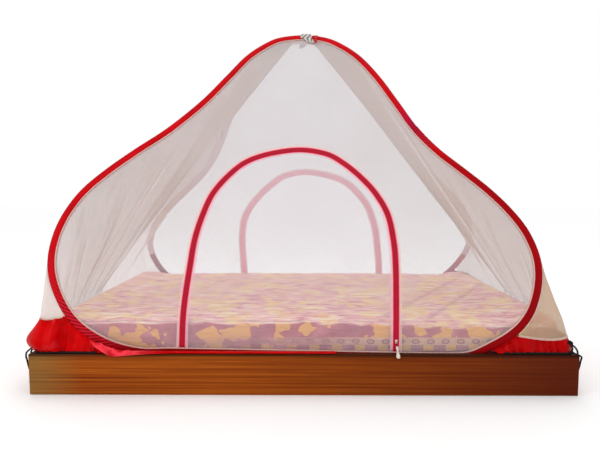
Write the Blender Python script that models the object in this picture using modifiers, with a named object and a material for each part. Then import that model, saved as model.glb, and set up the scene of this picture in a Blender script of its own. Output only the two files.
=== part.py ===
# Pop-up mosquito net canopy on the mattress and bed base that it fits.
# Metres, +Z up. X runs along the bed, the front is at -Y and the floor is Z = 0.
import math

import bmesh
import bpy
import numpy as np
from mathutils import Vector

# Bed base and mattress
BED_LENGTH = 1.99
BED_WIDTH = 1.13
RAIL_HEIGHT = 0.15
RAIL_THICKNESS = 0.022
RAIL_ROUNDING = 0.0015
DECK_TOP = 0.115
DECK_THICKNESS = 0.018
MATTRESS_LENGTH = 1.905
MATTRESS_WIDTH = 1.016
MATTRESS_TOP = 0.265
MATTRESS_RISE = 0.008  # how far the filling lifts the middle of the top
MATTRESS_ROUNDING = 0.024
MATTRESS_DRAW = 0.004  # how far the sides are drawn in at mid height
MATTRESS_CUTS = 9
MATTRESS_CROWDING = 0.55  # below 1, the points of the block crowd towards its edges

# Gaps between pieces that meet
JOIN = 0.0003
PANEL_GAP = 0.0008  # between neighbours on one panel
SEAM = 0.0013  # where a sheet meets an edge at an angle
HEM_SEAM = 0.0014  # where net and skirt meet along a hem
EDGE_BACK = 0.0030  # the end nets leave the hoops this far behind their middle

# Sheets
NET_THICKNESS = 0.002
SATIN_THICKNESS = 0.002
TAPE_THICKNESS = 0.003
HOOP_THICKNESS = 0.006
THIN_EDGE = 0.5  # thickness of a hoop's edges over that of its middle

# A side panel leans in from its foot to the peak
PANEL_FOOT = DECK_TOP + JOIN
PEAK_HEIGHT = 1.45
FOOT_DEPTH = 0.532
PEAK_DEPTH = 0.006
BOW_POWER = 1.5
BACK_DROP = 0.07  # the back hoop's shoulders hang this much lower
DROP_START = 0.3
DROP_SPAN = 1.0
SLOPE_STEP = 0.002  # for the panel's slope at a height

# The front hoop's outer edge, metres: height, reach to the left, reach to the right
HOOP_ROWS = (
    (0.158, 0.711, 0.699),
    (0.210, 0.811, 0.786),
    (0.270, 0.878, 0.843),
    (0.340, 0.925, 0.877),
    (0.420, 0.959, 0.896),
    (0.500, 0.970, 0.894),
    (0.590, 0.957, 0.863),
    (0.670, 0.925, 0.809),
    (0.750, 0.871, 0.735),
    (0.830, 0.786, 0.644),
    (0.910, 0.684, 0.552),
    (1.000, 0.562, 0.474),
    (1.120, 0.434, 0.403),
    (1.240, 0.335, 0.331),
    (1.340, 0.254, 0.253),
    (1.405, 0.172, 0.170),
    (1.438, 0.103, 0.098),
)
HOOP_WIDTH = 0.030
HOOP_RUN = (0.60, 0.59)  # where the level run under the door ends, left and right
HOOP_RUN_HEIGHT = (0.132, 0.117)
FOOT_MARGIN = 0.05  # from the door's leg out to where the run's stations start

# The middle of the front door's zip, metres: height, reach to the left, reach to the right
ZIP_ROWS = (
    (0.300, 0.443, 0.345),
    (0.470, 0.425, 0.349),
    (0.560, 0.413, 0.344),
    (0.650, 0.388, 0.327),
    (0.730, 0.354, 0.284),
    (0.800, 0.297, 0.222),
    (0.855, 0.229, 0.155),
    (0.889, 0.134, 0.091),
)
ZIP_FOOT = (0.446, 0.341)
ZIP_TOP = (-0.013, 0.905)
ZIP_WIDTH = 0.032
ZIP_FOOT_LIFT = 0.0009  # above the hoop's level run

# Stations along one half of a hoop or zip, and rows across each sheet
HALF_STATIONS = 28
RUN_STATIONS = 5
TURN_LENGTH = 0.12  # metres of curve that one radian of turning counts as
PANEL_ROWS = 3
DOOR_COLUMNS = 5
END_ROWS = 6
SKIRT_ROWS = 3
SKIRT_SPLIT = 2
CURVE_STEPS = 10

# Soft shapes
PANEL_PUFF = 0.007
PUFF_TURN = 1.15  # of the net's waves, radians a station
DOOR_PUFF = 0.006
END_SAG = 0.022
END_FOLD = 0.013
END_FOLDS = 5.5
SLACK_STATIONS = 6
WIDEST_REACH = 0.035  # the hoop's widest place lands this far past the corner
REACH_POWER = 0.75
CORNER_RADIUS = 0.04

# The end nets bend over the mattress's edge: half length and half width of that line
KNEE_PLAN = (0.956, 0.540)
KNEE_WIDER = 0.016  # further out at the tall corners
KNEE_LIFT = 0.020  # above the hem at least
KNEE_CLEAR = 0.007  # above the mattress at least
KNEE_SHARE = 0.35  # of the way up from the hem beside the hoop

# Skirt: where its top and bottom run, half length and half width
SKIRT_TOP_PLAN = (0.972, 0.550)
SKIRT_BOTTOM_PLAN = (0.985, 0.556)
SKIRT_TALL = 0.272  # top height at the front left and back right corners
SKIRT_LOW = 0.207
BELLY_TALL = 0.024
BELLY_LOW = 0.005
GATHER = 0.003
GATHER_START = 0.07  # the gathers fade out this close to a corner, where the elastic pulls
SKIRT_LIFT = 0.0016  # of the hem above the rails
SKIRT_START_TALL = 0.183  # the hoop's height where each skirt begins
SKIRT_START_LOW = 0.166
NET_START = 0.014  # the end net starts this far above the skirt's top

# Folded-out strip of the front skirt: place along X, front edge's depth and height, metres
FLAP_ROWS = (
    (-0.790, 0.5690, 0.1600),
    (-0.745, 0.5715, 0.1520),
    (-0.700, 0.5730, 0.1450),
    (-0.650, 0.5715, 0.1480),
    (-0.560, 0.5700, 0.1535),
    (-0.470, 0.5620, 0.1535),
    (0.120, 0.5610, 0.1530),
)
FLAP_CREST = (0.5650, 0.1560)
FLAP_TOP_LIFT = 0.0040
FLAP_STATIONS = 16
FLAP_ROW_COUNT = 4
FLAP_END = 0.120
FLAP_CROWDING = 1.6  # above 1, its stations crowd towards the folded end

# Slider on the right leg's foot and its pull
SLIDER_SIZE = (0.009, 0.005, 0.014)
SLIDER_ROUNDING = 0.001
SLIDER_HEIGHT = 0.187
ZIP_FOOT_HEIGHT = 0.15
PULL_THICKNESS = 0.0014
PULL_TOP = (0.5335, 0.1895)  # depth and height of its upper end
PULL_TIP = (0.5765, 0.1405)
PULL_NECK = 0.0045
PULL_TAB = 0.0085
PULL_NECK_SHARE = 0.35
PULL_WIDENING = 0.2  # share of its length over which the neck widens into the tab
PULL_ENDS = 0.7  # width of the rounded ends over the width beside them

# Peak tie: a tape folded over both hoops
TIE_MIDDLE = 0.015
TIE_WIDTH = 0.052
TIE_DROPS = (0.040, 0.028, 0.016, 0.004)  # its rows down each hoop from the peak
TIE_THICKNESS = 0.0016
TIE_OUT = 0.0046
TIE_ROWS = 4
TIE_CREASE = 0.0016
TIE_NARROWING = 0.25  # of its free ends
TIE_RISE = 0.012  # how steeply the creases stand
TAB_MIDDLE = 0.057
TAB_WIDTH = 0.019
TAB_DROP = 0.006
TAB_LENGTH = 0.040
TAB_END = 0.35  # width of its lower end over that of its top
TAB_THICKNESS = 0.0015
TAB_LIFTS = (0.0035, 0.0045, 0.0050, 0.0030)  # off the hoop's middle, from its outer edge down
TAB_ROWS = len(TAB_LIFTS) - 1

# Elastic loops: out from the bed's end face, out from its long face, height, metres
ELASTIC_RADIUS = 0.002
ELASTIC_LOW_ROUTE = (
    (-0.0290, 0.0000, 0.1800),
    (-0.0300, 0.0040, 0.1620),
    (-0.0140, 0.0045, 0.1550),
    (0.0025, 0.0050, 0.1460),
    (0.0050, -0.0030, 0.1280),
    (0.0055, -0.0100, 0.1050),
    (0.0040, -0.0180, 0.0820),
    (0.0035, -0.0260, 0.0780),
    (0.0040, -0.0320, 0.0880),
    (0.0055, -0.0300, 0.1150),
    (0.0050, -0.0240, 0.1400),
    (0.0010, -0.0180, 0.1580),
    (-0.0060, -0.0220, 0.1720),
)
ELASTIC_TALL_ROUTE = (
    (0.0010, 0.0030, 0.1600),
    (0.0040, 0.0050, 0.1450),
    (0.0055, -0.0030, 0.1280),
    (0.0060, -0.0100, 0.1050),
    (0.0050, -0.0180, 0.0840),
    (0.0040, -0.0260, 0.0790),
    (0.0050, -0.0330, 0.0880),
    (0.0060, -0.0340, 0.1120),
    (0.0055, -0.0320, 0.1350),
    (0.0040, -0.0280, 0.1520),
)
# Where each loop's two ends are sewn to its skirt
ELASTIC_ENDS = {
    "front_left": ((-0.0119, -0.0191, 0.1732), (-0.0068, -0.0350, 0.1665)),
    "front_right": ((-0.0304, -0.0232, 0.1923), (-0.0197, -0.0336, 0.1855)),
    "back_left": ((-0.0328, -0.0268, 0.1900), (-0.0210, -0.0360, 0.1849)),
    "back_right": ((-0.0118, -0.0187, 0.1729), (-0.0057, -0.0350, 0.1664)),
}
ELASTIC_POINTS = 26
ELASTIC_TURN_LENGTH = 0.005

HALF_TURN = math.pi
ALONG_SLANT = np.linspace(PANEL_FOOT - 0.02, PEAK_HEIGHT + 0.02, 500)


def panel_depth(height):
    """How far a side panel stands from the bed's middle line at a height."""
    share = np.clip((height - PANEL_FOOT) / (PEAK_HEIGHT - PANEL_FOOT), 0, 1)
    return PEAK_DEPTH + (FOOT_DEPTH - PEAK_DEPTH) * (1 - share**BOW_POWER)


SLANT_STEPS = np.hypot(np.diff(ALONG_SLANT), np.diff(panel_depth(ALONG_SLANT)))
SLANTS = np.concatenate([[0], np.cumsum(SLANT_STEPS)])


def slant_of(height):
    return np.interp(height, ALONG_SLANT, SLANTS)


def height_of(slant):
    return np.interp(slant, SLANTS, ALONG_SLANT)


def on_panel(flat, out=0.0):
    """The point of the front panel's surface for (x, slant), moved out along its normal."""
    height = float(height_of(flat[1]))
    below, above = height - SLOPE_STEP, height + SLOPE_STEP
    fall = float(panel_depth(below) - panel_depth(above)) / (above - below)
    normal = Vector((0, -1, fall)).normalized()
    return Vector((flat[0], -float(panel_depth(height)), height)) + normal * out


def turned(point):
    return Vector((-point[0], -point[1], point[2]))


def mix(start, end, share):
    return start + (end - start) * share


def ease(share):
    share = min(max(share, 0.0), 1.0)
    return share * share * (3 - 2 * share)


def smooth(points):
    """A Catmull-Rom curve through the points."""
    points = [np.array(point, float) for point in points]
    ends = [2 * points[0] - points[1], *points, 2 * points[-1] - points[-2]]
    curve = []
    for before, start, end, after in zip(ends, ends[1:], ends[2:], ends[3:]):
        for step in range(CURVE_STEPS):
            share = step / CURVE_STEPS
            bend = 2 * before - 5 * start + 4 * end - after
            twist = 3 * start - before - 3 * end + after
            curve.append(start + 0.5 * share * (end - before + share * (bend + share * twist)))
    return np.array(curve + [points[-1]])


def spread(curve, count, turn_length=TURN_LENGTH):
    """Count + 1 stations along a curve, closer together where it turns."""
    steps = np.diff(curve, axis=0)
    lengths = np.linalg.norm(steps, axis=1)
    units = steps / lengths[:, None]
    turns = np.arccos(np.clip((units[1:] * units[:-1]).sum(axis=1), -1, 1))
    weights = lengths.copy()
    weights[1:] += turn_length * turns / 2
    weights[:-1] += turn_length * turns / 2
    along = np.concatenate([[0], np.cumsum(weights)])
    wanted = np.linspace(0, along[-1], count + 1)
    return np.stack([np.interp(wanted, along, column) for column in curve.T], axis=1)


def inset(loop, distance):
    """Each point of a closed loop moved to the right of the way round it."""
    before = loop - np.roll(loop, 1, axis=0)
    after = np.roll(loop, -1, axis=0) - loop
    sides = []
    for step in (before, after):
        unit = step / np.linalg.norm(step, axis=1)[:, None]
        sides.append(np.stack([unit[:, 1], -unit[:, 0]], axis=1))
    middle = sides[0] + sides[1]
    middle /= (middle * sides[0]).sum(axis=1)[:, None]
    return loop + middle * distance


class Side:
    """The outlines of one side of the tent, as (x, slant) seen from outside."""

    def __init__(self, drop):
        self.drop = drop
        left, right = [], []
        for height, left_reach, right_reach in HOOP_ROWS:
            left.append((-left_reach, self.lowered(height)))
            right.append((right_reach, self.lowered(height)))
        foot_left = -ZIP_FOOT[0] - FOOT_MARGIN
        foot_right = ZIP_FOOT[1] + FOOT_MARGIN
        points = [(foot_left, HOOP_RUN_HEIGHT[0]), (-HOOP_RUN[0], HOOP_RUN_HEIGHT[0])]
        points += left + [(0, PEAK_HEIGHT)] + right[::-1]
        points += [(HOOP_RUN[1], HOOP_RUN_HEIGHT[1]), (foot_right, HOOP_RUN_HEIGHT[1])]
        self.edge = self.stations(points, len(left) + 2)
        run = [mix(self.edge[-1], self.edge[0], step / RUN_STATIONS) for step in range(1, RUN_STATIONS)]
        self.loop = np.array([*self.edge, *run])

        points = [self.zip_foot(-ZIP_FOOT[0])]
        points += [(-row[1], self.lowered(row[0])) for row in ZIP_ROWS]
        points += [(ZIP_TOP[0], self.lowered(ZIP_TOP[1]))]
        points += [(row[2], self.lowered(row[0])) for row in ZIP_ROWS[::-1]]
        points += [self.zip_foot(ZIP_FOOT[1])]
        self.arch = self.stations(points, len(ZIP_ROWS) + 1)

    def lowered(self, height):
        share = min(max((height - DROP_START) / DROP_SPAN, 0), 1)
        return height - self.drop * math.sin(math.pi * share)

    def zip_foot(self, x):
        """Where a leg of the zip stands on the level run."""
        share = (x - self.edge[0][0]) / (self.edge[-1][0] - self.edge[0][0])
        run = mix(self.edge[0][1], self.edge[-1][1], share)
        return x, float(height_of(run + HOOP_WIDTH + ZIP_FOOT_LIFT))

    def stations(self, points, middle):
        """Stations on a curve through (x, height) points, with one on the middle point."""
        curve = smooth(points)
        curve[:, 1] = slant_of(np.maximum(curve[:, 1], PANEL_FOOT))
        halves = curve[: middle * CURVE_STEPS + 1], curve[middle * CURVE_STEPS :]
        left, right = [spread(half, HALF_STATIONS) for half in halves]
        return np.concatenate([left, right[1:]])

    def hoop(self, distance):
        """The hoop's outer edge moved in, one point for each station."""
        return inset(self.loop, distance)

    def zip_line(self, distance):
        """The zip's middle moved towards the door, with its feet kept on the run."""
        line = inset(self.arch, distance)
        for foot, inner in ((0, 1), (-1, -2)):
            way = self.arch[inner] - self.arch[foot]
            way /= np.linalg.norm(way)
            line[foot] = self.arch[foot] + np.array([way[1], -way[0]]) * distance * (1 if foot == 0 else -1)
            line[foot][1] = self.arch[foot][1]
        return line

    def rise(self, hand, distance):
        """Stations up one side of the hoop, from its foot to the peak."""
        line = self.hoop(distance)[: len(self.edge)]
        return line[: HALF_STATIONS + 1] if hand < 0 else line[HALF_STATIONS:][::-1]


def clear_scene():
    for item in list(bpy.data.objects):
        bpy.data.objects.remove(item, do_unlink=True)


def material(name, colour, roughness, metallic=0.0):
    found = bpy.data.materials.new(name)
    found.use_nodes = True
    shader = found.node_tree.nodes["Principled BSDF"]
    shader.inputs["Base Color"].default_value = (*colour, 1)
    shader.inputs["Roughness"].default_value = roughness
    shader.inputs["Metallic"].default_value = metallic
    found.diffuse_color = (*colour, 1)
    return found


def add_part(name, data, finish):
    part = bpy.data.objects.new(name, data)
    data.materials.append(finish)
    bpy.data.collections["mosquito_net_canopy"].objects.link(part)
    return part


def mesh_part(name, shape, finish):
    bmesh.ops.recalc_face_normals(shape, faces=shape.faces)
    data = bpy.data.meshes.new(name)
    shape.to_mesh(data)
    shape.free()
    return add_part(name, data, finish)


def box(name, low, high, finish, rounding=0.0):
    shape = bmesh.new()
    bmesh.ops.create_cube(shape, size=1)
    middle = (Vector(low) + Vector(high)) / 2
    size = Vector(high) - Vector(low)
    for corner in shape.verts:
        corner.co = Vector(corner.co[axis] * size[axis] for axis in range(3))
    part = mesh_part(name, shape, finish)
    part.location = middle
    if rounding:
        bevel = part.modifiers.new("rounding", "BEVEL")
        bevel.width = rounding
        bevel.segments = 1
    return part


def nearly(point):
    """A point to the micrometre, to find it again."""
    return tuple(round(value, 6) for value in point)


def sheet(name, columns, rows, place, thickness, finish, thin_edges=False):
    """A grid laid where place(column, row) says and given its thickness both ways."""
    shape = bmesh.new()
    bmesh.ops.create_grid(shape, x_segments=columns, y_segments=rows, size=0.5)
    across = {}
    for corner in shape.verts:
        column = round((corner.co.x + 0.5) * columns)
        row = round((corner.co.y + 0.5) * rows)
        corner.co = place(column, row)
        across[corner] = 0 < row < rows
    inner = {nearly(corner.co) for corner in shape.verts if across[corner]}
    bmesh.ops.remove_doubles(shape, verts=shape.verts, dist=JOIN / 10)
    part = mesh_part(name, shape, finish)
    solid = part.modifiers.new("thickness", "SOLIDIFY")
    solid.thickness = thickness
    solid.offset = 0
    if thin_edges:
        group = part.vertex_groups.new(name="middle")
        chosen = [point.index for point in part.data.vertices if nearly(point.co) in inner]
        group.add(chosen, 1.0, "REPLACE")
        solid.vertex_group = group.name
        solid.thickness_vertex_group = THIN_EDGE
    return part


def build_bed(finishes):
    half_length, half_width = BED_LENGTH / 2, BED_WIDTH / 2
    inner_length = half_length - RAIL_THICKNESS - JOIN
    inner_width = half_width - RAIL_THICKNESS
    wood = finishes["wood"]
    for name, side in (("rail_front", -1), ("rail_back", 1)):
        near, far = sorted((side * half_width, side * inner_width))
        low, high = (-half_length, near, 0), (half_length, far, RAIL_HEIGHT)
        box(name, low, high, wood, RAIL_ROUNDING)
    for name, side in (("rail_left", -1), ("rail_right", 1)):
        near, far = sorted((side * half_length, side * (half_length - RAIL_THICKNESS)))
        low = (near, -inner_width + JOIN, 0)
        high = (far, inner_width - JOIN, RAIL_HEIGHT)
        box(name, low, high, wood, RAIL_ROUNDING)
    low = (-inner_length, -inner_width + JOIN, DECK_TOP - DECK_THICKNESS)
    high = (inner_length, inner_width - JOIN, DECK_TOP)
    box("deck", low, high, wood)


def build_mattress(finish):
    """A filled block: rounded edges, sides drawn in at mid height, a slightly lifted top."""
    bottom = DECK_TOP + JOIN
    height = MATTRESS_TOP - bottom
    shape = bmesh.new()
    bmesh.ops.create_cube(shape, size=2)
    bmesh.ops.subdivide_edges(shape, edges=shape.edges, cuts=MATTRESS_CUTS, use_grid_fill=True)
    half = Vector((MATTRESS_LENGTH / 2, MATTRESS_WIDTH / 2, height / 2))
    core = half - Vector((MATTRESS_ROUNDING,) * 3)
    for corner in shape.verts:
        unit = Vector(math.copysign(abs(value) ** MATTRESS_CROWDING, value) for value in corner.co)
        inside = Vector(max(-core[k], min(core[k], unit[k] * half[k])) for k in range(3))
        reach = Vector(unit[k] * half[k] for k in range(3)) - inside
        if reach.length:
            inside += reach.normalized() * MATTRESS_ROUNDING
        waist = MATTRESS_DRAW * (1 - (inside.z / half.z) ** 2)
        for k in range(2):
            if abs(unit[k]) == 1:
                inside[k] -= math.copysign(waist, unit[k])
        if unit.z > 0:
            lift = (1 - (inside.x / half.x) ** 2) * (1 - (inside.y / half.y) ** 2)
            inside.z += MATTRESS_RISE * lift
        corner.co = inside
    part = mesh_part("mattress", shape, finish)
    part.location.z = bottom + half.z
    return part


def build_side(name, side, finishes):
    """The hoop, net, zip and door of one side, modelled as the front one."""
    edge_count = len(side.edge)
    loop_count = len(side.loop)
    outer, inner = side.hoop(0), side.hoop(HOOP_WIDTH)

    def hoop_place(column, row):
        station = column % loop_count
        return on_panel(mix(outer[station], inner[station], row / 2))

    hoop = sheet(f"hoop_{name}", loop_count, 2, hoop_place, HOOP_THICKNESS, finishes["binding"], True)

    rim = side.hoop(HOOP_WIDTH + PANEL_GAP)[:edge_count]
    tape_outer = side.zip_line(-ZIP_WIDTH / 2)
    tape_inner = side.zip_line(ZIP_WIDTH / 2)
    around = side.zip_line(-ZIP_WIDTH / 2 - PANEL_GAP)
    leaf = side.zip_line(ZIP_WIDTH / 2 + PANEL_GAP)

    def net_place(column, row):
        share = row / PANEL_ROWS
        wave = 0.5 + 0.5 * math.sin(column * PUFF_TURN)
        puff = PANEL_PUFF * math.sin(math.pi * share) * wave
        return on_panel(mix(around[column], rim[column], share), puff)

    net = sheet(f"net_{name}", edge_count - 1, PANEL_ROWS, net_place, NET_THICKNESS, finishes["net"])

    def zip_place(column, row):
        return on_panel(mix(tape_outer[column], tape_inner[column], row))

    tape = sheet(f"zip_{name}", edge_count - 1, 1, zip_place, TAPE_THICKNESS, finishes["tape"])

    def door_place(column, row):
        share = column / DOOR_COLUMNS
        climb = row / HALF_STATIONS
        puff = DOOR_PUFF * math.sin(math.pi * share) * math.sin(math.pi * climb)
        return on_panel(mix(leaf[row], leaf[edge_count - 1 - row], share), puff)

    door = sheet(f"door_{name}", DOOR_COLUMNS, HALF_STATIONS, door_place, NET_THICKNESS, finishes["net"])
    return [hoop, net, tape, door]


def plan_point(reach, plan):
    """A point and outward direction on the rounded base line of one quarter.

    Reach is measured from the corner: below zero along the long side, above it along the end.
    """
    length, width = plan
    radius = CORNER_RADIUS
    if reach < -radius:
        return Vector((length + reach, width, 0)), Vector((0, 1, 0))
    if reach > radius:
        return Vector((length, width - reach, 0)), Vector((1, 0, 0))
    angle = (reach + radius) / (2 * radius) * math.pi / 2
    way = Vector((math.sin(angle), math.cos(angle), 0))
    return Vector((length - radius, width - radius, 0)) + way * radius, way


class Quarter:
    """One quarter of an end: the hoop's edge above, the base line below."""

    def __init__(self, sides, hand, facing):
        self.hand, self.facing = hand, facing
        self.tall = hand * facing > 0
        side = sides["front"] if facing < 0 else sides["back"]
        top = SKIRT_TALL if self.tall else SKIRT_LOW
        own_hand = hand if facing < 0 else -hand
        flat = side.rise(own_hand, -SEAM)[:-1]
        heights = [height_of(point[1]) for point in flat]
        start_height = SKIRT_START_TALL if self.tall else SKIRT_START_LOW
        self.skirt_start = next(i for i, z in enumerate(heights) if z > start_height)
        self.net_start = next(i for i, z in enumerate(heights) if z > top + NET_START)
        self.widest = max(range(len(flat)), key=lambda i: abs(flat[i][0]))
        self.edge = [on_panel(point, -EDGE_BACK * self.climb(i)) for i, point in enumerate(flat)]
        if facing > 0:
            self.edge = [turned(point) for point in self.edge]
        self.top = top

    def climb(self, station):
        """0 where the net starts on the hoop's lower bend, 1 from its widest place up."""
        return ease((station - self.net_start) / (self.widest - self.net_start))

    def slack(self, station):
        """0 beside the hoop's widest place, where the net is taut, 1 towards the peak."""
        return ease((station - self.widest - 1) / SLACK_STATIONS)

    def gathered(self, station):
        return ease(abs(self.reach(station)) / GATHER_START)

    def turned_out(self, point):
        return Vector((point.x * self.hand, point.y * self.facing, point.z))

    def reach(self, station):
        """Where a station of the hoop lands on the base line."""
        start = abs(self.edge[self.net_start].x) - SKIRT_TOP_PLAN[0]
        if station < self.net_start:
            return abs(self.edge[station].x) - SKIRT_TOP_PLAN[0]
        if station <= self.widest:
            share = (station - self.net_start) / (self.widest - self.net_start)
            return mix(start, WIDEST_REACH, share)
        share = (station - self.widest) / (len(self.edge) - 0.5 - self.widest)
        return mix(WIDEST_REACH, SKIRT_TOP_PLAN[1], share**REACH_POWER)

    def hem(self, station):
        """The net's bottom edge below a station, and the way out from it."""
        reach = self.reach(station)
        point, way = plan_point(reach, SKIRT_TOP_PLAN)
        start = abs(self.edge[self.net_start].y) + SEAM
        point.y -= (SKIRT_TOP_PLAN[1] - start) * (1 - self.climb(station))
        other = SKIRT_LOW if self.tall else SKIRT_TALL
        along = max(reach, 0) / (2 * SKIRT_TOP_PLAN[1])
        point.z = mix(self.top, other, ease(along))
        return self.turned_out(point), self.turned_out(way)

    def knee(self, station):
        """Where the net bends over the mattress's edge."""
        hem = self.hem(station)[0]
        near = mix(hem, self.edge[station], KNEE_SHARE)
        bend = plan_point(self.reach(station), KNEE_PLAN)[0]
        bend.x += KNEE_WIDER * (hem.z - SKIRT_LOW) / (SKIRT_TALL - SKIRT_LOW)
        bend.z = max(hem.z + KNEE_LIFT, MATTRESS_TOP + KNEE_CLEAR)
        return mix(near, self.turned_out(bend), self.climb(station))

    def foot(self, station):
        """The skirt's bottom edge below a station."""
        point, way = plan_point(self.reach(station), SKIRT_BOTTOM_PLAN)
        point.z = RAIL_HEIGHT + SKIRT_LIFT
        return self.turned_out(point), self.turned_out(way)


def build_end(name, hand, sides, finishes):
    """The net and the gathered skirt of one end."""
    quarters = Quarter(sides, hand, -1), Quarter(sides, hand, 1)
    top_line, knee_line, bottom_line, ways, slacks = [], [], [], [], []
    skirt_top, skirt_foot, skirt_ways, bellies, gathers = [], [], [], [], []
    for order, quarter in enumerate(quarters):
        stations = list(range(quarter.skirt_start, len(quarter.edge)))
        for station in stations if order == 0 else stations[::-1]:
            foot, foot_way = quarter.foot(station)
            if station >= quarter.net_start:
                hem, way = quarter.hem(station)
                top_line.append(quarter.edge[station])
                knee_line.append(quarter.knee(station))
                slacks.append(quarter.slack(station))
                bottom_line.append(hem)
                ways.append(way)
                skirt_top.append(hem - Vector((0, 0, HEM_SEAM)))
                share = (hem.z - SKIRT_LOW) / (SKIRT_TALL - SKIRT_LOW)
                bellies.append(mix(BELLY_LOW, BELLY_TALL, share))
            else:
                skirt_top.append(quarter.edge[station])
                bellies.append(BELLY_LOW)
            gathers.append(GATHER * quarter.gathered(station))
            skirt_foot.append(foot)
            skirt_ways.append(foot_way)

    columns = len(top_line) - 1

    def net_place(column, row):
        if row == END_ROWS:
            return bottom_line[column]
        share = row / (END_ROWS - 1)
        along = column / columns
        fold = END_FOLD * math.sin(2 * math.pi * END_FOLDS * along + hand)
        shape = (fold * share * share - END_SAG) * slacks[column]
        point = mix(top_line[column], knee_line[column], share)
        return point + ways[column] * shape * math.sin(math.pi * share)

    sheet(f"net_{name}", columns, END_ROWS, net_place, NET_THICKNESS, finishes["net"])

    skirt_columns = (len(skirt_top) - 1) * SKIRT_SPLIT

    def between(line, column):
        start = min(column // SKIRT_SPLIT, len(line) - 2)
        return mix(line[start], line[start + 1], column / SKIRT_SPLIT - start)

    def skirt_place(column, row):
        share = row / SKIRT_ROWS
        point = mix(between(skirt_top, column), between(skirt_foot, column), share)
        gather = between(gathers, column) * (1 if column % 2 else -1) * share
        belly = between(bellies, column) * math.sin(math.pi * share)
        return point + between(skirt_ways, column) * (belly + gather)

    sheet(f"skirt_{name}", skirt_columns, SKIRT_ROWS, skirt_place, SATIN_THICKNESS, finishes["satin"])
    return quarters


def build_flap(name, side, quarter, finish):
    """The skirt's strip over the front rail, folded out at its left end."""
    edge = [on_panel(point) for point in side.hoop(-SEAM)[: len(side.edge)]]
    reach = -abs(quarter.edge[quarter.skirt_start].x) + 2 * SEAM
    rows = np.array(FLAP_ROWS)
    wanted = reach + (FLAP_END - reach) * np.linspace(0, 1, FLAP_STATIONS + 1) ** FLAP_CROWDING
    edge_x = [point.x for point in edge[: HALF_STATIONS // 2]]
    edge_z = [point.z for point in edge[: HALF_STATIONS // 2]]
    order = np.argsort(edge_x)
    heights = np.interp(wanted, np.array(edge_x)[order], np.array(edge_z)[order])

    def place(column, row):
        x = wanted[column]
        height = max(heights[column], RAIL_HEIGHT + FLAP_TOP_LIFT)
        top = Vector((x, -float(panel_depth(height)) - HOOP_THICKNESS / 2 - PANEL_GAP, height))
        crest = Vector((x, -FLAP_CREST[0], FLAP_CREST[1]))
        front = Vector((x, -np.interp(x, rows[:, 0], rows[:, 1]), np.interp(x, rows[:, 0], rows[:, 2])))
        share = row / FLAP_ROW_COUNT * 2
        return mix(top, crest, share) if share <= 1 else mix(crest, front, share - 1)

    return sheet(f"skirt_{name}", FLAP_STATIONS, FLAP_ROW_COUNT, place, SATIN_THICKNESS, finish)


def build_slider(name, side, finish):
    foot_x = float(np.interp(SLIDER_HEIGHT, [ZIP_FOOT_HEIGHT, ZIP_ROWS[0][0]], [ZIP_FOOT[1], ZIP_ROWS[0][2]]))
    out = TAPE_THICKNESS / 2 + JOIN + SLIDER_SIZE[1] / 2
    slant = float(slant_of(SLIDER_HEIGHT))
    half = Vector(SLIDER_SIZE) / 2
    slider = box(f"slider_{name}", -half, half, finish, SLIDER_ROUNDING)
    slider.location = on_panel((foot_x, slant), out)
    lean = on_panel((0, slant + SLOPE_STEP)) - on_panel((0, slant))
    slider.rotation_euler.x = -math.atan2(lean.y, lean.z)

    start = Vector((foot_x, -PULL_TOP[0], PULL_TOP[1]))
    tip = Vector((foot_x, -PULL_TIP[0], PULL_TIP[1]))
    length = (tip - start).length
    shape = bmesh.new()
    bmesh.ops.create_grid(shape, x_segments=2, y_segments=6, size=0.5)
    for corner in shape.verts:
        share = 0.5 - corner.co.y
        wide = mix(PULL_NECK, PULL_TAB, ease((share - PULL_NECK_SHARE) / PULL_WIDENING))
        if share in (0.0, 1.0):
            wide *= PULL_ENDS
        corner.co = Vector((corner.co.x * wide, 0, -share * length))
    pull = mesh_part(f"pull_{name}", shape, finish)
    solid = pull.modifiers.new("thickness", "SOLIDIFY")
    solid.thickness = PULL_THICKNESS
    solid.offset = 0
    pull.location = start
    pull.rotation_euler.x = -math.atan2(start.y - tip.y, start.z - tip.z)
    return [slider, pull]


def build_peak(side, finishes):
    """The tape folded over both hoops, and the small red fold beside it."""
    top = float(slant_of(PEAK_HEIGHT))
    front = [on_panel((0, top - drop), TIE_OUT) for drop in TIE_DROPS]
    over = [Vector((0, -PEAK_DEPTH, PEAK_HEIGHT + TIE_OUT))]
    wrap = front + over
    wrap += [turned(point) for point in wrap[::-1]]

    def tie_place(column, row):
        point = wrap[column].copy()
        across = row / TIE_ROWS - 0.5
        wide = TIE_WIDTH * (1 - TIE_NARROWING * abs(2 * column / (len(wrap) - 1) - 1))
        point.x = TIE_MIDDLE + across * wide
        crease = TIE_CREASE * (row % 2)
        way = Vector((0, point.y, TIE_RISE)).normalized()
        return point + way * crease

    sheet("peak_tie", len(wrap) - 1, TIE_ROWS, tie_place, TIE_THICKNESS, finishes["tie"])

    def tab_place(column, row):
        share = row / TAB_ROWS
        wide = TAB_WIDTH * mix(1, TAB_END, share)
        x = TAB_MIDDLE + (column / 2 - 0.5) * wide
        return on_panel((x, top - mix(TAB_DROP, TAB_LENGTH, share)), TAB_LIFTS[row])

    sheet("peak_tab", 2, TAB_ROWS, tab_place, TAB_THICKNESS, finishes["satin"])


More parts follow.
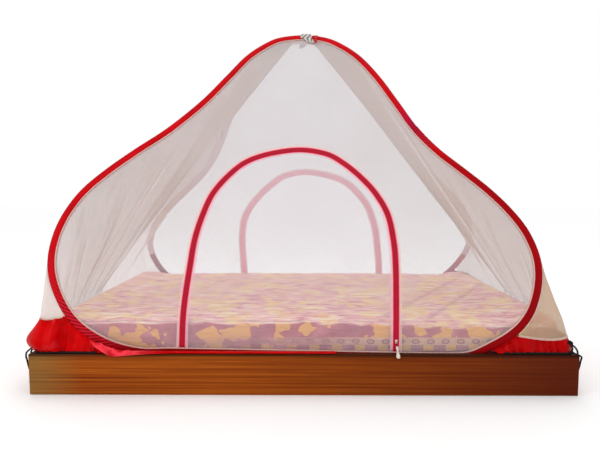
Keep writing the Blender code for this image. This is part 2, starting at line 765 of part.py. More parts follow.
def build_elastic(place, hand, facing, finish):
    name = f"elastic_{place}"
    corner = (BED_LENGTH / 2, BED_WIDTH / 2)
    start, end = ELASTIC_ENDS[place]
    route = [start, *(ELASTIC_TALL_ROUTE if hand * facing > 0 else ELASTIC_LOW_ROUTE), end]
    points = smooth([((corner[0] + x) * hand, (corner[1] + y) * facing, z) for x, y, z in route])
    points = spread(points, ELASTIC_POINTS - 1, ELASTIC_TURN_LENGTH)
    curve = bpy.data.curves.new(name, "CURVE")
    curve.dimensions = "3D"
    curve.bevel_depth = ELASTIC_RADIUS
    curve.bevel_resolution = 2
    curve.use_fill_caps = True
    line = curve.splines.new("POLY")
    line.points.add(len(points) - 1)
    for target, point in zip(line.points, points):
        target.co = (*point, 1)
    return add_part(name, curve, finish)


def build():
    clear_scene()
    bpy.context.scene.collection.children.link(bpy.data.collections.new("mosquito_net_canopy"))
    finishes = {
        "wood": material("varnished_wood", (0.27, 0.08, 0.02), 0.35),
        "ticking": material("printed_cotton", (0.55, 0.30, 0.30), 0.85),
        "net": material("white_polyester_net", (0.86, 0.84, 0.84), 0.7),
        "binding": material("red_binding", (0.60, 0.004, 0.016), 0.55),
        "tape": material("red_zip_tape", (0.52, 0.01, 0.03), 0.6),
        "satin": material("red_satin", (0.66, 0.006, 0.010), 0.35),
        "metal": material("bright_zip_metal", (0.72, 0.68, 0.62), 0.3, 1.0),
        "tie": material("grey_tie_tape", (0.62, 0.62, 0.64), 0.7),
        "elastic": material("black_elastic", (0.012, 0.011, 0.012), 0.7),
    }
    build_bed(finishes)
    build_mattress(finishes["ticking"])
    sides = {"front": Side(0), "back": Side(BACK_DROP)}
    left = build_end("left", -1, sides, finishes)
    right = build_end("right", 1, sides, finishes)
    for name, side, quarter in (("front", sides["front"], left[0]), ("back", sides["back"], right[1])):
        pieces = build_side(name, side, finishes)
        pieces.append(build_flap(name, side, quarter, finishes["satin"]))
        pieces += build_slider(name, side, finishes["metal"])
        if name == "back":
            for piece in pieces:
                piece.location = turned(piece.location)
                piece.rotation_euler.z = HALF_TURN
    build_peak(sides["front"], finishes)
    for end, hand in (("left", -1), ("right", 1)):
        for depth, facing in (("front", -1), ("back", 1)):
            build_elastic(f"{depth}_{end}", hand, facing, finishes["elastic"])


build()
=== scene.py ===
# A pop-up mosquito net on its mattress and bed base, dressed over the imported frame.
# Metres, +Z up. X runs along the bed and the front door is at -Y.
import math
from functools import partial

import bpy
import numpy as np
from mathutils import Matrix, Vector


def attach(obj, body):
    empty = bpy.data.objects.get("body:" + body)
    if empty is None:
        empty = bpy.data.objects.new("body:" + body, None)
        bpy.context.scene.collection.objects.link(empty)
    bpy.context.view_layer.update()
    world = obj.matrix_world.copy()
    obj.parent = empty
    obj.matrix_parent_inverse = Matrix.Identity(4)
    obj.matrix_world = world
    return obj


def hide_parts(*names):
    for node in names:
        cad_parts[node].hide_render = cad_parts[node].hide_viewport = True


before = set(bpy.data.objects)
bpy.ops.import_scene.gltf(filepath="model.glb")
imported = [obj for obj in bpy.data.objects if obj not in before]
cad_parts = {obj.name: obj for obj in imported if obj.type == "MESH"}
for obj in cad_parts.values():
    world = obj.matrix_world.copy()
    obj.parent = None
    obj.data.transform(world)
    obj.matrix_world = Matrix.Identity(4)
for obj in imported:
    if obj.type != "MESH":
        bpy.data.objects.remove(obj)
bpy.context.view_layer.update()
print("frame loaded")


# Small tools

def linear(code):
    channels = [int(code[k : k + 2], 16) / 255 for k in (1, 3, 5)]
    return (*[c / 12.92 if c <= 0.04045 else ((c + 0.055) / 1.055) ** 2.4 for c in channels], 1)


def feed(material, inputs, node=None):  # a socket is linked, a hex colour turned linear, a number set
    node = node or material.node_tree.nodes["Principled BSDF"]
    for socket, value in inputs.items() if isinstance(inputs, dict) else enumerate(inputs):
        if isinstance(value, bpy.types.NodeSocket):
            material.node_tree.links.new(value, node.inputs[socket])
        else:
            node.inputs[socket].default_value = linear(value) if isinstance(value, str) else value


mainOutputs = {"TexCoord": "UV", "TexWave": "Fac", "Attribute": "Fac", "Mix": "Result"}  # else the first


def addNode(material, kind, inputs=(), out=None, stops=(), **settings):
    node = material.node_tree.nodes.new("ShaderNode" + kind)
    for name, value in settings.items():
        setattr(node, name, value)
    feed(material, inputs, node)
    if stops:
        elements = node.color_ramp.elements
        while len(elements) < len(stops):
            elements.new(0.5)
        for element, (position, code) in zip(elements, stops):
            element.position = position
            element.color = linear(code)
    return node.outputs[out or mainOutputs.get(kind, 0)]


def newMaterial(name):  # with addNode made ready for it
    material = bpy.data.materials.new(name)
    material.use_nodes = True
    return material, partial(addNode, material)


def waveScale(spacing):  # a wave texture's scale for lines this far apart
    return 0.314 / spacing


# A finish whose colour, and relief if any, follow one pattern
def patterned(name, kind, pattern, stops, shine, bump=None, coords="UV"):
    material, add = newMaterial(name)
    share = add(kind, {"Vector": add("TexCoord", out=coords), **pattern})
    inputs = {**shine, "Base Color": add("ValToRGB", [share], stops=stops)}
    if bump:
        inputs["Normal"] = add("Bump", {**bump, "Height": share})
    feed(material, inputs)
    return material


def deselect():
    bpy.ops.object.select_all(action="DESELECT")


def mix(start, end, share):
    return start + (end - start) * share


def ease(share):
    share = np.clip(share, 0, 1)
    return share * share * (3 - 2 * share)


def bell(distance, width):
    return np.exp(-((distance / width) ** 2))


def ripple(x, y, size, seed, count=6):  # soft uneven waves between -1 and 1, about size metres long
    chance = np.random.default_rng(seed)
    total = 0
    for _ in range(count):
        angle, phase, stretch = chance.uniform((0, 0, 0.7), (math.pi, 2 * math.pi, 1.5))
        along = x * math.cos(angle) + y * math.sin(angle)
        total = total + np.sin(2 * math.pi * along / (size * stretch) + phase)
    return total / math.sqrt(count * 2)


def unit(ways):
    return ways / np.linalg.norm(ways, axis=1)[:, None]


def lengthsAlong(points):
    return np.concatenate([[0], np.cumsum(np.linalg.norm(np.diff(points, axis=0), axis=1))])


def resample(wanted, along, values):  # values given along a line, read at the wanted places
    values = np.asarray(values, float)
    if values.ndim == 1:
        return np.interp(wanted, along, values)
    return np.stack([np.interp(wanted, along, column) for column in values.T], axis=1)


def smooth(points, steps=10):  # a Catmull-Rom curve through the points
    points = [np.array(point, float) for point in points]
    padded = [2 * points[0] - points[1], *points, 2 * points[-1] - points[-2]]
    curve = []
    for before, start, end, after in zip(padded, padded[1:], padded[2:], padded[3:]):
        for step in range(steps):
            share = step / steps
            bend = 2 * before - 5 * start + 4 * end - after
            twist = 3 * start - before - 3 * end + after
            curve.append(start + 0.5 * share * (end - before + share * (bend + share * twist)))
    return np.array(curve + [points[-1]])


def spread(curve, count, turnLength):  # stations along a curve, closer together where it turns
    steps = np.diff(curve, axis=0)
    ways = unit(steps)
    turns = np.arccos(np.clip((ways[1:] * ways[:-1]).sum(axis=1), -1, 1))
    weights = np.linalg.norm(steps, axis=1)
    weights[1:] += turnLength * turns / 2
    weights[:-1] += turnLength * turns / 2
    along = np.concatenate([[0], np.cumsum(weights)])
    return resample(np.linspace(0, along[-1], count + 1), along, curve)


def inset(loop, distance):  # a closed loop moved to the right of the way round it
    sides = []
    for step in (loop - np.roll(loop, 1, axis=0), np.roll(loop, -1, axis=0) - loop):
        way = unit(step)
        sides.append(np.stack([way[:, 1], -way[:, 0]], axis=1))
    middle = sides[0] + sides[1]
    middle /= (middle * sides[0]).sum(axis=1)[:, None]
    return loop + middle * distance


def turned(points):  # to the other side, half a turn about the middle
    return points * np.array([-1, -1, 1])


def onSide(name, points):
    return points if name == "front" else turned(points)


def meshPoints(piece):
    points = np.empty(len(piece.data.vertices) * 3)
    piece.data.vertices.foreach_get("co", points)
    return points.reshape(-1, 3)


def setPoints(piece, points):
    piece.data.vertices.foreach_set("co", np.asarray(points, float).ravel())
    piece.data.update()


def setFlat(piece, flat):  # the UV map, from each point's place on the flat cloth
    loops = np.empty(len(piece.data.loops), int)
    piece.data.loops.foreach_get("vertex_index", loops)
    piece.data.uv_layers[0].data.foreach_set("uv", flat[loops].ravel())


def addAttribute(piece, title, values):
    layer = piece.data.attributes.new(title, "FLOAT", "POINT")
    layer.data.foreach_set("value", np.asarray(values, np.float32))


def faceOutwards(merge=False):
    bpy.ops.object.mode_set(mode="EDIT")
    bpy.ops.mesh.select_all(action="SELECT")
    if merge:
        bpy.ops.mesh.remove_doubles(threshold=0.00002)
    bpy.ops.mesh.normals_make_consistent(inside=False)
    bpy.ops.object.mode_set(mode="OBJECT")


# A grid of columns by rows, laid where place(column, row) says, which also gives each point's flat place
def layGrid(name, columns, rows, place, attributes=None, closed=False):
    deselect()
    bpy.ops.mesh.primitive_grid_add(x_subdivisions=columns, y_subdivisions=rows, size=1, calc_uvs=True)
    piece = bpy.context.object
    piece.name = piece.data.name = name
    corners = meshPoints(piece)
    column = np.rint((corners[:, 0] + 0.5) * columns).astype(int)
    row = np.rint((corners[:, 1] + 0.5) * rows).astype(int)
    points, flat = place(column, row)
    setFlat(piece, np.stack(flat, axis=1))
    for title, value in (attributes or {}).items():
        addAttribute(piece, title, value(column, row))
    setPoints(piece, points)
    faceOutwards(closed)
    bpy.ops.object.shade_smooth()
    return piece


def thicken(piece, thickness):
    deselect()
    piece.select_set(True)
    bpy.context.view_layer.objects.active = piece
    solid = piece.modifiers.new("thickness", "SOLIDIFY")
    solid.thickness = thickness
    solid.offset = 0
    bpy.ops.object.modifier_apply(modifier=solid.name)


def pipe(name, points, radius, finish, slot, wobble=0.0):  # a thin round line of fabric
    along = lengthsAlong(points)
    ways = unit(np.gradient(points, axis=0))
    level = np.cross(ways, (0, 0, 1))
    level /= np.maximum(np.linalg.norm(level, axis=1), 0.001)[:, None]
    rise = np.cross(level, ways)
    turns = 8

    def place(column, row):
        angle = 2 * math.pi * row / turns
        size = radius * (1 + wobble * ripple(along[column], 0, 0.02, 51))
        offset = level[column] * np.cos(angle)[:, None] + rise[column] * np.sin(angle)[:, None]
        return points[column] + offset * size[:, None], (along[column], angle * radius)

    return dress(layGrid(name, len(points) - 1, turns, place, closed=True), finish, slot)


def dress(piece, material, slot, *nodes):
    piece.data.materials.clear()
    piece.data.materials.append(material)
    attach(piece, "root")
    if nodes:
        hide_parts(*nodes)
    return piece


hands = {"left": -1, "right": 1}
facings = {"front": -1, "back": 1}

# Camera: the photograph's own view

view = {
    "place": (-0.001, -2.226, 0.740),
    "tilt": 85.72,
    "turn": 0.34,
    "focalPixels": 471.7,
    "width": 600,
    "sensor": 36,
}


def buildCamera():
    turns = (math.radians(view["tilt"]), 0, math.radians(view["turn"]))
    bpy.ops.object.camera_add(location=view["place"], rotation=turns)
    camera = bpy.context.object
    camera.data.sensor_width = view["sensor"]
    camera.data.lens = view["sensor"] * view["focalPixels"] / view["width"]
    bpy.context.scene.camera = camera


buildCamera()
print("camera placed")

# Elastic loops: from one knot at the skirt, under the rail's corner, to the other

elastic = {
    "radius": 0.0031,
    "corner": (0.995, 0.565),
    # each point: out from the bed's end face, out from its long face, height
    "lowRoute": (
        (-0.029, 0, 0.18), (-0.03, 0.004, 0.162), (-0.014, 0.0045, 0.155), (0.0025, 0.005, 0.146),
        (0.005, -0.003, 0.128), (0.0055, -0.01, 0.105), (0.004, -0.018, 0.082), (0.0035, -0.026, 0.078),
        (0.004, -0.032, 0.088), (0.0055, -0.03, 0.115), (0.005, -0.024, 0.14), (0.001, -0.018, 0.158),
        (-0.006, -0.022, 0.172),
    ),
    "tallRoute": (
        (0.001, 0.003, 0.16), (0.004, 0.005, 0.145), (0.0055, -0.003, 0.128), (0.006, -0.01, 0.105),
        (0.005, -0.018, 0.084), (0.004, -0.026, 0.079), (0.005, -0.033, 0.088), (0.006, -0.034, 0.112),
        (0.0055, -0.032, 0.135), (0.004, -0.028, 0.152),
    ),
    "ends": {
        "front_left": ((-0.0119, -0.0191, 0.1732), (-0.0068, -0.0350, 0.1665)),
        "front_right": ((-0.0304, -0.0232, 0.1923), (-0.0197, -0.0336, 0.1855)),
        "back_left": ((-0.0328, -0.0268, 0.1900), (-0.0210, -0.0360, 0.1849)),
        "back_right": ((-0.0118, -0.0187, 0.1729), (-0.0057, -0.0350, 0.1664)),
    },
    "points": 60,
    "turnLength": 0.005,
    "knot": 0.85,
    "knotRadius": 0.75,  # of the loop's own
}


def braidedElastic():  # black rubber cored cord: matt, with a fine twill of threads
    material, add = newMaterial("braided_elastic")
    uv = add("TexCoord")
    wave = add("TexWave", {"Vector": uv, "Scale": 90.0, "Distortion": 1.5})
    bump = add("Bump", {"Strength": 0.5, "Distance": 0.0004, "Height": wave})
    feed(material, {"Base Color": "#0B0A0B", "Roughness": 0.75, "Specular IOR Level": 0.2, "Normal": bump})
    return material


def buildElastic(place, hand, facing, material):
    start, end = elastic["ends"][place]
    middle = elastic["tallRoute"] if hand * facing > 0 else elastic["lowRoute"]
    across, along = elastic["corner"]
    route = [((across + x) * hand, (along + y) * facing, z) for x, y, z in (start, *middle, end)]
    points = spread(smooth(route), elastic["points"], elastic["turnLength"])
    curve = bpy.data.curves.new("loop_" + place, "CURVE")
    curve.dimensions = "3D"
    curve.bevel_depth = elastic["radius"]
    curve.bevel_resolution = 3
    curve.use_fill_caps = True
    line = curve.splines.new("POLY")
    line.points.add(len(points) - 1)
    for target, point in zip(line.points, points):
        target.co = (*point, 1)
    loop = bpy.data.objects.new("loop_" + place, curve)
    bpy.context.scene.collection.objects.link(loop)
    dress(loop, material, "black_elastic", "elastic_" + place)


elasticMaterial = braidedElastic()
for endName, hand in hands.items():
    for sideName, facing in facings.items():
        buildElastic(f"{sideName}_{endName}", hand, facing, elasticMaterial)
print("elastic loops laid")

# The two leaning sides: where their hoops and zips run

tent = {
    "foot": 0.1153,
    "peak": 1.45,
    "footDepth": 0.532,
    "peakDepth": 0.006,
    "bow": 1.5,
    "backDrop": 0.07,  # of the back hoop's shoulders
    "dropStart": 0.3,
    "dropSpan": 1.0,
    "halfStations": 28,
    "fine": 4,  # stations here for one of the frame's
    "turnLength": 0.12,
}
hoopShape = {  # outer edge: height, reach to the left, reach to the right
    "rows": (
        (0.158, 0.711, 0.699), (0.210, 0.811, 0.786), (0.270, 0.878, 0.843), (0.340, 0.925, 0.877),
        (0.420, 0.959, 0.896), (0.500, 0.970, 0.894), (0.590, 0.957, 0.863), (0.670, 0.925, 0.809),
        (0.750, 0.871, 0.735), (0.830, 0.786, 0.644), (0.910, 0.684, 0.552), (1.000, 0.562, 0.474),
        (1.120, 0.434, 0.403), (1.240, 0.335, 0.331), (1.340, 0.254, 0.253), (1.405, 0.172, 0.170),
        (1.438, 0.103, 0.098),
    ),
    "run": (0.60, 0.59),
    "runHeight": (0.132, 0.117),
    "runStations": 5,
    "margin": 0.05,
    "width": 0.030,
}
zipShape = {  # middle of the tape: height, reach to the left, reach to the right
    "rows": (
        (0.300, 0.443, 0.345), (0.470, 0.425, 0.349), (0.560, 0.413, 0.344), (0.650, 0.388, 0.327),
        (0.730, 0.354, 0.284), (0.800, 0.297, 0.222), (0.855, 0.229, 0.155), (0.889, 0.134, 0.091),
    ),
    "foot": (0.446, 0.341),
    "footLift": 0.0009,
    "top": (-0.013, 0.905),
    "width": 0.032,
}


def panelDepth(height):
    share = np.clip((height - tent["foot"]) / (tent["peak"] - tent["foot"]), 0, 1)
    return tent["peakDepth"] + (tent["footDepth"] - tent["peakDepth"]) * (1 - share ** tent["bow"])


panelHeights = np.linspace(tent["foot"] - 0.02, tent["peak"] + 0.02, 500)
panelSlants = lengthsAlong(np.stack([panelHeights, panelDepth(panelHeights)], axis=1))


def slantOf(height):
    return np.interp(height, panelHeights, panelSlants)


def heightOf(slant):
    return np.interp(slant, panelSlants, panelHeights)


def onPanel(flat, out=0.0):  # (x, slant) on the front side, moved out from it
    height = heightOf(flat[..., 1])
    step = 0.002
    fall = (panelDepth(height - step) - panelDepth(height + step)) / (2 * step)
    long = np.sqrt(1 + fall * fall)
    return np.stack([flat[..., 0], -panelDepth(height) - out / long, height + out * fall / long], axis=-1)


def makeSide(drop):
    def lowered(height):
        share = min(max((height - tent["dropStart"]) / tent["dropSpan"], 0), 1)
        return height - drop * math.sin(math.pi * share)

    def over(rows, top):  # up the left, over the top and down the right
        left = [(-row[1], lowered(row[0])) for row in rows]
        return [*left, top, *[(row[2], lowered(row[0])) for row in rows[::-1]]]

    def stations(points, middle):
        curve = smooth(points)
        curve[:, 1] = slantOf(np.maximum(curve[:, 1], tent["foot"]))
        count = tent["halfStations"] * tent["fine"]
        left = spread(curve[: middle * 10 + 1], count, tent["turnLength"])
        right = spread(curve[middle * 10 :], count, tent["turnLength"])
        return np.concatenate([left, right[1:]])

    def zipFoot(x):
        share = (x - edge[0][0]) / (edge[-1][0] - edge[0][0])
        slant = mix(edge[0][1], edge[-1][1], share) + hoopShape["width"] + zipShape["footLift"]
        return x, float(heightOf(slant))

    (leftRun, rightRun), (leftLow, rightLow) = hoopShape["run"], hoopShape["runHeight"]
    leftFoot, rightFoot = zipShape["foot"]
    hoop = [(-leftFoot - hoopShape["margin"], leftLow), (-leftRun, leftLow)]
    hoop += over(hoopShape["rows"], (0, tent["peak"]))
    hoop += [(rightRun, rightLow), (rightFoot + hoopShape["margin"], rightLow)]
    edge = stations(hoop, len(hoopShape["rows"]) + 2)
    count = hoopShape["runStations"] * tent["fine"]
    loop = np.array([*edge, *[mix(edge[-1], edge[0], step / count) for step in range(1, count)]])
    top, topHeight = zipShape["top"]
    arch = [zipFoot(-leftFoot), *over(zipShape["rows"], (top, lowered(topHeight))), zipFoot(rightFoot)]
    return {"edge": edge, "loop": loop, "arch": stations(arch, len(zipShape["rows"]) + 1)}


def zipLine(arch, distance):  # the zip's middle moved towards the door, its feet kept on the run
    line = inset(arch, distance)
    for foot, inner, hand in ((0, 1, 1), (-1, -2, -1)):
        way = arch[inner] - arch[foot]
        way /= np.linalg.norm(way)
        line[foot] = arch[foot] + np.array([way[1], -way[0]]) * distance * hand
        line[foot][1] = arch[foot][1]
    return line


def alongLoop(side, distances, step):  # lines beside the hoop's edge, at the same even steps
    lines = [inset(side["loop"], distance) for distance in distances]
    lines = [np.concatenate([line, line[:1]]) for line in lines]
    middle = lengthsAlong(lines[0])
    wanted = np.linspace(0, middle[-1], int(middle[-1] / step) + 1)
    return [resample(wanted, middle, line) for line in lines], wanted


# A band of cloth on a side between two lines, lifted off the panel by lift(column, share)
def layBand(name, sideName, near, far, along, rows, width, lift, values=None, closed=False):
    def place(column, row):
        share = row / rows
        flat = mix(near[column], far[column], share[:, None])
        return onSide(sideName, onPanel(flat, lift(column, share))), (along[column], share * width)

    return layGrid(name, len(along) - 1, rows, place, values, closed)


sides = {"front": makeSide(0), "back": makeSide(tent["backDrop"])}

# Net panels and doors of the two sides

panel = {
    "flat": (1.90, 1.50),
    "gap": 0.0008,
    "rows": 26,
    "puff": 0.007,
    "puffTurn": 1.15,
    "ripple": 0.0016,
    "rippleSize": 0.2,
    "seed": 11,
    "leastArea": 0.86,  # the solid's own
}
door = {"flat": (0.80, 0.91), "columns": 36, "puff": 0.006, "ripple": 0.0012, "rippleSize": 0.14, "seed": 12}
netLook = {
    "mesh": 0.0045,
    "angle": 32,
    "seam": 0.0035,
    "seamFade": 0.002,
    "low": 0.25,
    "high": 0.95,
    "patches": 0.16,
    "pleats": 0.24,
    "threads": 0.10,
    "farThin": 0.55,
    "farPale": 0.6,
    "sewn": 0.85,
    "paleAndHighlight": "#EFE6E4",
}


def knittedNet(name, thread, seam, lowDensity, highDensity):
    # polyester net, warp knitted: a pale veil that dims what is behind it, looser low down, with
    # denser sewn rims; its 1.5 mm meshes are drawn three times as large, so that they show close up
    material, add = newMaterial(name)
    uv = add("TexCoord")
    titles = ("rim", "pleat", "shine", "far")
    rim, pleat, shine, far = (add("Attribute", attribute_name=title) for title in titles)
    waves = []
    for angle in (math.radians(netLook["angle"]), -math.radians(netLook["angle"])):
        turn = add("Mapping", {"Vector": uv, "Rotation": (0, 0, angle)})
        waves.append(add("TexWave", {"Vector": turn, "Scale": waveScale(netLook["mesh"])}))
    threads = add("Math", waves, operation="MAXIMUM")
    seamEnd = netLook["seam"] + netLook["seamFade"]
    band = add("MapRange", (rim, netLook["seam"], seamEnd, 1.0, 0.0))
    place = add("TexCoord", out="Object")
    height = add("SeparateXYZ", [place], "Z")
    climb = (height, netLook["low"], netLook["high"], lowDensity, highDensity)
    dense = add("MapRange", climb)
    patch = add("TexNoise", {"Vector": uv, "Scale": 3.0, "Detail": 3.0})
    for value, title in ((patch, "patches"), (pleat, "pleats"), (threads, "threads")):
        dense = add("Math", (value, netLook[title], dense), operation="MULTIPLY_ADD")
    thin = add("MapRange", (far, 0.0, 1.0, 1.0, netLook["farThin"]))
    thinned = add("Math", (dense, thin), operation="MULTIPLY")
    sewn = add("Math", (band, netLook["sewn"]), operation="MULTIPLY")
    solid = add("Math", (thinned, sewn), operation="MAXIMUM", use_clamp=True)
    # paler in the rear half low down, and painted highlights where the shine attribute is set
    paler = (far, netLook["farPale"], shine)
    pale = add("Math", paler, operation="MULTIPLY_ADD", use_clamp=True)
    colour = thread
    for share, code in ((pale, netLook["paleAndHighlight"]), (band, seam)):
        colour = add("Mix", {"Factor": share, "A": colour, "B": code}, data_type="RGBA")
    bump = add("Bump", {"Strength": 0.15, "Distance": 0.0005, "Height": threads})
    feed(material, {"Roughness": 0.7, "Specular IOR Level": 0.2})
    feed(material, {"Alpha": solid, "Base Color": colour, "Normal": bump})
    return material


def hangNet(title, node, material, columns, rows, place, values, closed=False):
    net = layGrid(title, columns, rows, place, values, closed)
    net.visible_shadow = False  # fine net dims the light behind it very little
    return dress(net, material, "white_polyester_net", node)


def buildNet(name, material):
    side = sides[name]
    count = len(side["edge"])
    rimLine = inset(side["loop"], hoopShape["width"] + panel["gap"])[:count]
    around = zipLine(side["arch"], -zipShape["width"] / 2 - panel["gap"])
    wide = np.linalg.norm(rimLine - around, axis=1)

    def place(column, row):
        share = row / panel["rows"]
        flat = mix(around[column], rimLine[column], share[:, None])
        loose = np.sin(math.pi * share)
        wave = 0.5 + 0.5 * np.sin(column / tent["fine"] * panel["puffTurn"])
        uneven = ripple(flat[:, 0], flat[:, 1], panel["rippleSize"], panel["seed"])
        out = panel["puff"] * loose * wave + panel["ripple"] * loose * uneven
        return onSide(name, onPanel(flat, out)), (flat[:, 0], flat[:, 1])

    def toRim(column, row):
        share = row / panel["rows"]
        return wide[column] * np.minimum(share, 1 - share)

    rim = {"rim": toRim}
    net = hangNet("panel_net_" + name, "net_" + name, material, count - 1, panel["rows"], place, rim)


def buildDoor(name, material):
    side = sides[name]
    last = len(side["edge"]) - 1
    leaf = zipLine(side["arch"], zipShape["width"] / 2 + panel["gap"])
    rows = last // 2
    wide = np.linalg.norm(leaf - leaf[::-1], axis=1)

    def place(column, row):
        share = column / door["columns"]
        flat = mix(leaf[row], leaf[last - row], share[:, None])
        loose = np.sin(math.pi * share) * np.sin(math.pi * row / rows)
        uneven = ripple(flat[:, 0], flat[:, 1], door["rippleSize"], door["seed"], 5)
        out = door["puff"] * loose + door["ripple"] * loose * uneven
        return onSide(name, onPanel(flat, out)), (flat[:, 0], flat[:, 1])

    def toRim(column, row):
        share = column / door["columns"]
        return np.where(row == rows, 0, wide[row] * np.minimum(share, 1 - share))

    columns, values = door["columns"], {"rim": toRim}
    net = hangNet("door_net_" + name, "door_" + name, material, columns, rows, place, values, closed=True)


sideNet = knittedNet("warp_knitted_net", "#D2CED2", "#E3BDB4", 0.13, 0.38)
doorNet = knittedNet("warp_knitted_door_net", "#D6D2D8", "#E9AEBC", 0.12, 0.34)
for sideName in sides:
    buildNet(sideName, sideNet)
    buildDoor(sideName, doorNet)
print("side nets and doors laid")

# Sprung hoops in their red binding, with the net's seam along them

binding = {
    "step": 0.0032,  # metres of hoop for each ring of points
    "around": 18,
    "thickness": 0.0062,  # at the peak, where both hoops meet
    "fuller": 0.0110,  # from a hand's width beside it on
    "fullStart": 0.07,
    "fullSpan": 0.10,
    "uneven": 0.06,
    "pitch": 0.021,  # of the ribs where the tape is drawn tight
    "ribDepth": 0.6,
    "ribSlant": 2.2,  # pitches from one edge of the tape to the other
    "ribPlain": 0.10,  # depth everywhere else
    "ribFade": 0.04,
    "ribPlaces": (  # hand, low, high, depth
        (-1, 0.14, 0.36, 1.0),
        (-1, 0.30, 0.52, 0.35),
        (1, 0.90, 1.04, 0.75),
    ),
    "girth": 0.066,
    "shades": (  # painted shade, darker on the right (1) and the left (-1) below a height: span, amount
        (1, 1.0, 0.3, 0.6),
        (1, 0.5, 0.2, 0.2),
        (-1, 0.185, 0.04, 1.0),
    ),
    "bruise": 0.8,  # how far the dye has run just above the joint
    "bruiseLift": 0.02,
    "bruiseSpan": 0.06,
    "joint": 1.00,  # height on the right where the tape's two ends overlap
    "jointStep": 0.0012,
    "jointShift": 0.05,  # of the tape's width, past the joint
    "seamWidth": 0.0050,
    "seamRows": 4,
    "seamLift": 0.0024,
    "seamCrown": 0.0016,
    "allowanceWidth": 0.033,
    "allowanceDrop": 0.0040,
    "allowanceCurl": 0.0022,
    "allowanceFoot": 0.37,
}


def tightBinding():
    # polyester grosgrain sewn into a sleeve over sprung wire: satin-dull red, with painted shade in its ribs
    material, add = newMaterial("grosgrain_binding")
    uv = add("TexCoord")
    stretch = add("Mapping", {"Vector": uv, "Scale": (1, 6, 1)})
    noise = add("TexNoise", {"Vector": stretch, "Scale": 9.0, "Detail": 5.0})
    stops = [(0.25, "#A80006"), (0.5, "#BE0008"), (0.75, "#D00410")]
    colour = add("ValToRGB", [noise], stops=stops)
    # painted highlights between its ribs, a bluer stain, and painted shade low down, in the ribs and at the
    # edges
    layers = {"light": "#EE2438", "purple": "#B00E38", "low": "#7C0004", "rib": "#4A0008", "edge": "#7A0010"}
    for title, code in layers.items():
        share = add("Attribute", attribute_name=title)
        colour = add("Mix", {"Factor": share, "A": colour, "B": code}, data_type="RGBA")
    # the tape's weft cords, 0.8 mm apart in the real one, drawn 2 mm
    cords = add("TexWave", {"Vector": uv, "Scale": waveScale(0.002)})
    bump = add("Bump", {"Strength": 0.35, "Distance": 0.0006, "Height": cords})
    feed(material, {"Base Color": colour, "Roughness": 0.6, "Specular IOR Level": 0.05, "Normal": bump})
    return material


def seamTape():
    # cotton twill tape along the seam: ivory, matt, with its stitches 4 mm apart
    pattern = {"Scale": waveScale(0.0045), "Distortion": 0.6}
    stops = [(0.15, "#B98078"), (0.4, "#D9B3AA"), (1.0, "#E0C4B8")]
    bump = {"Strength": 0.6, "Distance": 0.0008}
    return patterned("cotton_seam_tape", "TexWave", pattern, stops, {"Roughness": 0.8}, bump)


